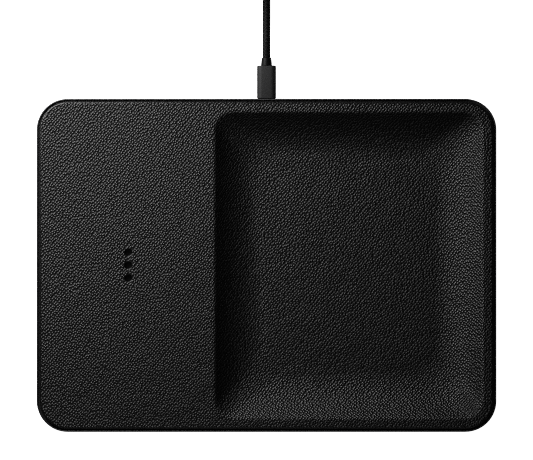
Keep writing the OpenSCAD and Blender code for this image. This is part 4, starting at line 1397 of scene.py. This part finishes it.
def soft_light(name, power, size, direction, tilt, distance, target):
    """An area light at an angle from straight above, aimed at a point."""
    data = bpy.data.lights.new(name, "AREA")
    data.energy = power
    data.shape = "SQUARE"
    data.size = size
    made = bpy.data.objects.new(name, data)
    bpy.context.scene.collection.objects.link(made)
    out = Vector((
        math.sin(tilt) * math.cos(direction), math.sin(tilt) * math.sin(direction), math.cos(tilt)
    ))
    made.location = Vector(target) + out * distance
    look_at(made, target)
    return made


def pale_floor(glow):
    """A plain floor that is white to the camera, pale grey to the tray and see-through from below."""
    material, tree, shader = new_material("pale_floor")
    mottle = noise(tree, place(tree), 0.05, 2.0)
    pale = mixed(tree, mottle, (0.84, 0.84, 0.84), (0.87, 0.87, 0.87))
    ray = tree.nodes.new("ShaderNodeLightPath").outputs["Is Camera Ray"]
    put(tree, shader.inputs["Base Color"], mixed(tree, ray, (0.4, 0.4, 0.4), pale))
    shader.inputs["Roughness"].default_value = 0.8
    shader.inputs["Emission Color"].default_value = (1, 1, 1, 1)
    put(tree, shader.inputs["Emission Strength"], maths(tree, "MULTIPLY", ray, glow))
    behind = tree.nodes.new("ShaderNodeNewGeometry").outputs["Backfacing"]
    put(tree, shader.inputs["Alpha"], maths(tree, "SUBTRACT", 1.0, behind))
    reach = 6.0
    under = -0.00005
    mesh = bpy.data.meshes.new("floor")
    corners = [(-reach, -reach), (reach, -reach), (reach, reach), (-reach, reach)]
    mesh.from_pydata([(x, y, under) for x, y in corners], [], [(0, 1, 2, 3)])
    mesh.materials.append(material)
    made = bpy.data.objects.new("floor", mesh)
    bpy.context.scene.collection.objects.link(made)
    return made


def pale_world(horizon):
    """A world that shows pale behind the floor and lights the tray softly from low down."""
    world = bpy.data.worlds.new("studio")
    bpy.context.scene.world = world
    world.use_nodes = True
    tree = world.node_tree
    tree.nodes.clear()
    seen = add(tree, "ShaderNodeBackground", {"Color": (1, 1, 1), "Strength": 1.0})
    way = tree.nodes.new("ShaderNodeTexCoord").outputs["Generated"]
    up = maths(tree, "ABSOLUTE", add(tree, "ShaderNodeSeparateXYZ", {"Vector": way}).outputs["Z"])
    low_down = ramp(tree, up, 0.05, 0.35, horizon, 0.002)
    light = add(tree, "ShaderNodeBackground", {"Color": (1, 1, 1), "Strength": low_down})
    ray = tree.nodes.new("ShaderNodeLightPath")
    either = add(tree, "ShaderNodeMixShader", {0: ray.outputs["Is Camera Ray"]})
    tree.links.new(light.outputs[0], either.inputs[1])
    tree.links.new(seen.outputs[0], either.inputs[2])
    output = tree.nodes.new("ShaderNodeOutputWorld")
    tree.links.new(either.outputs[0], output.inputs["Surface"])


class TRAY_OT_stage(bpy.types.Operator):
    """Makes the camera straight above, the soft lights and the pale floor"""

    bl_idname = "charging_tray.stage"
    bl_label = "Studio"

    def execute(self, context):
        look = context.scene.studio_look
        data = bpy.data.cameras.new("camera")
        data.sensor_width = 36
        data.lens = data.sensor_width * look.camera_height / look.view_width
        data.clip_end = 20
        camera = bpy.data.objects.new("camera", data)
        camera.location = (0, look.view_y, frame_high.z + look.camera_height)
        context.scene.collection.objects.link(camera)
        context.scene.camera = camera
        target = (0, 0, TRAY_TOP)
        soft_light(
            "key", look.key_power, look.key_size, look.key_turn, look.key_tilt, look.key_distance, target
        )
        soft_light(
            "fill", look.fill_power, 0.6, math.radians(-90), math.radians(45), 1.0, target
        )
        pale_floor(look.floor_glow)
        pale_world(look.horizon)
        context.scene.view_settings.view_transform = "Standard"
        context.scene.cycles.use_denoising = False
        context.scene.cycles.filter_width = look.sharpness
        return {"FINISHED"}


class TRAY_PT_panel(bpy.types.Panel):
    """Lists the steps and their settings in the sidebar"""

    bl_idname = "TRAY_PT_panel"
    bl_label = "Charging Tray"
    bl_space_type = "VIEW_3D"
    bl_region_type = "UI"
    bl_category = "Charging Tray"

    def draw(self, context):
        for name, group in SETTINGS.items():
            box = self.layout.box()
            for key in group.__annotations__:
                box.prop(getattr(context.scene, name), key)
        for step in STEPS:
            self.layout.operator(step.bl_idname)


STEPS = (
    TRAY_OT_stage,
    TRAY_OT_plug,
    TRAY_OT_supply_plug,
    TRAY_OT_cord,
    TRAY_OT_leather,
    TRAY_OT_frame,
    TRAY_OT_case,
    TRAY_OT_coils,
    TRAY_OT_boards,
    TRAY_OT_port,
)


def register():
    for group in SETTINGS.values():
        bpy.utils.register_class(group)
    for name, group in SETTINGS.items():
        setattr(bpy.types.Scene, name, bpy.props.PointerProperty(type=group))
    for step in STEPS:
        bpy.utils.register_class(step)
    bpy.utils.register_class(TRAY_PT_panel)


def unregister():
    bpy.utils.unregister_class(TRAY_PT_panel)
    for step in reversed(STEPS):
        bpy.utils.unregister_class(step)
    for name, group in SETTINGS.items():
        delattr(bpy.types.Scene, name)
        bpy.utils.unregister_class(group)


def main():
    """Runs every step."""
    register()
    for step in STEPS:
        area, _, action = step.bl_idname.partition(".")
        getattr(getattr(bpy.ops, area), action)()
    bpy.context.view_layer.update()


if __name__ == "__main__":
    main()
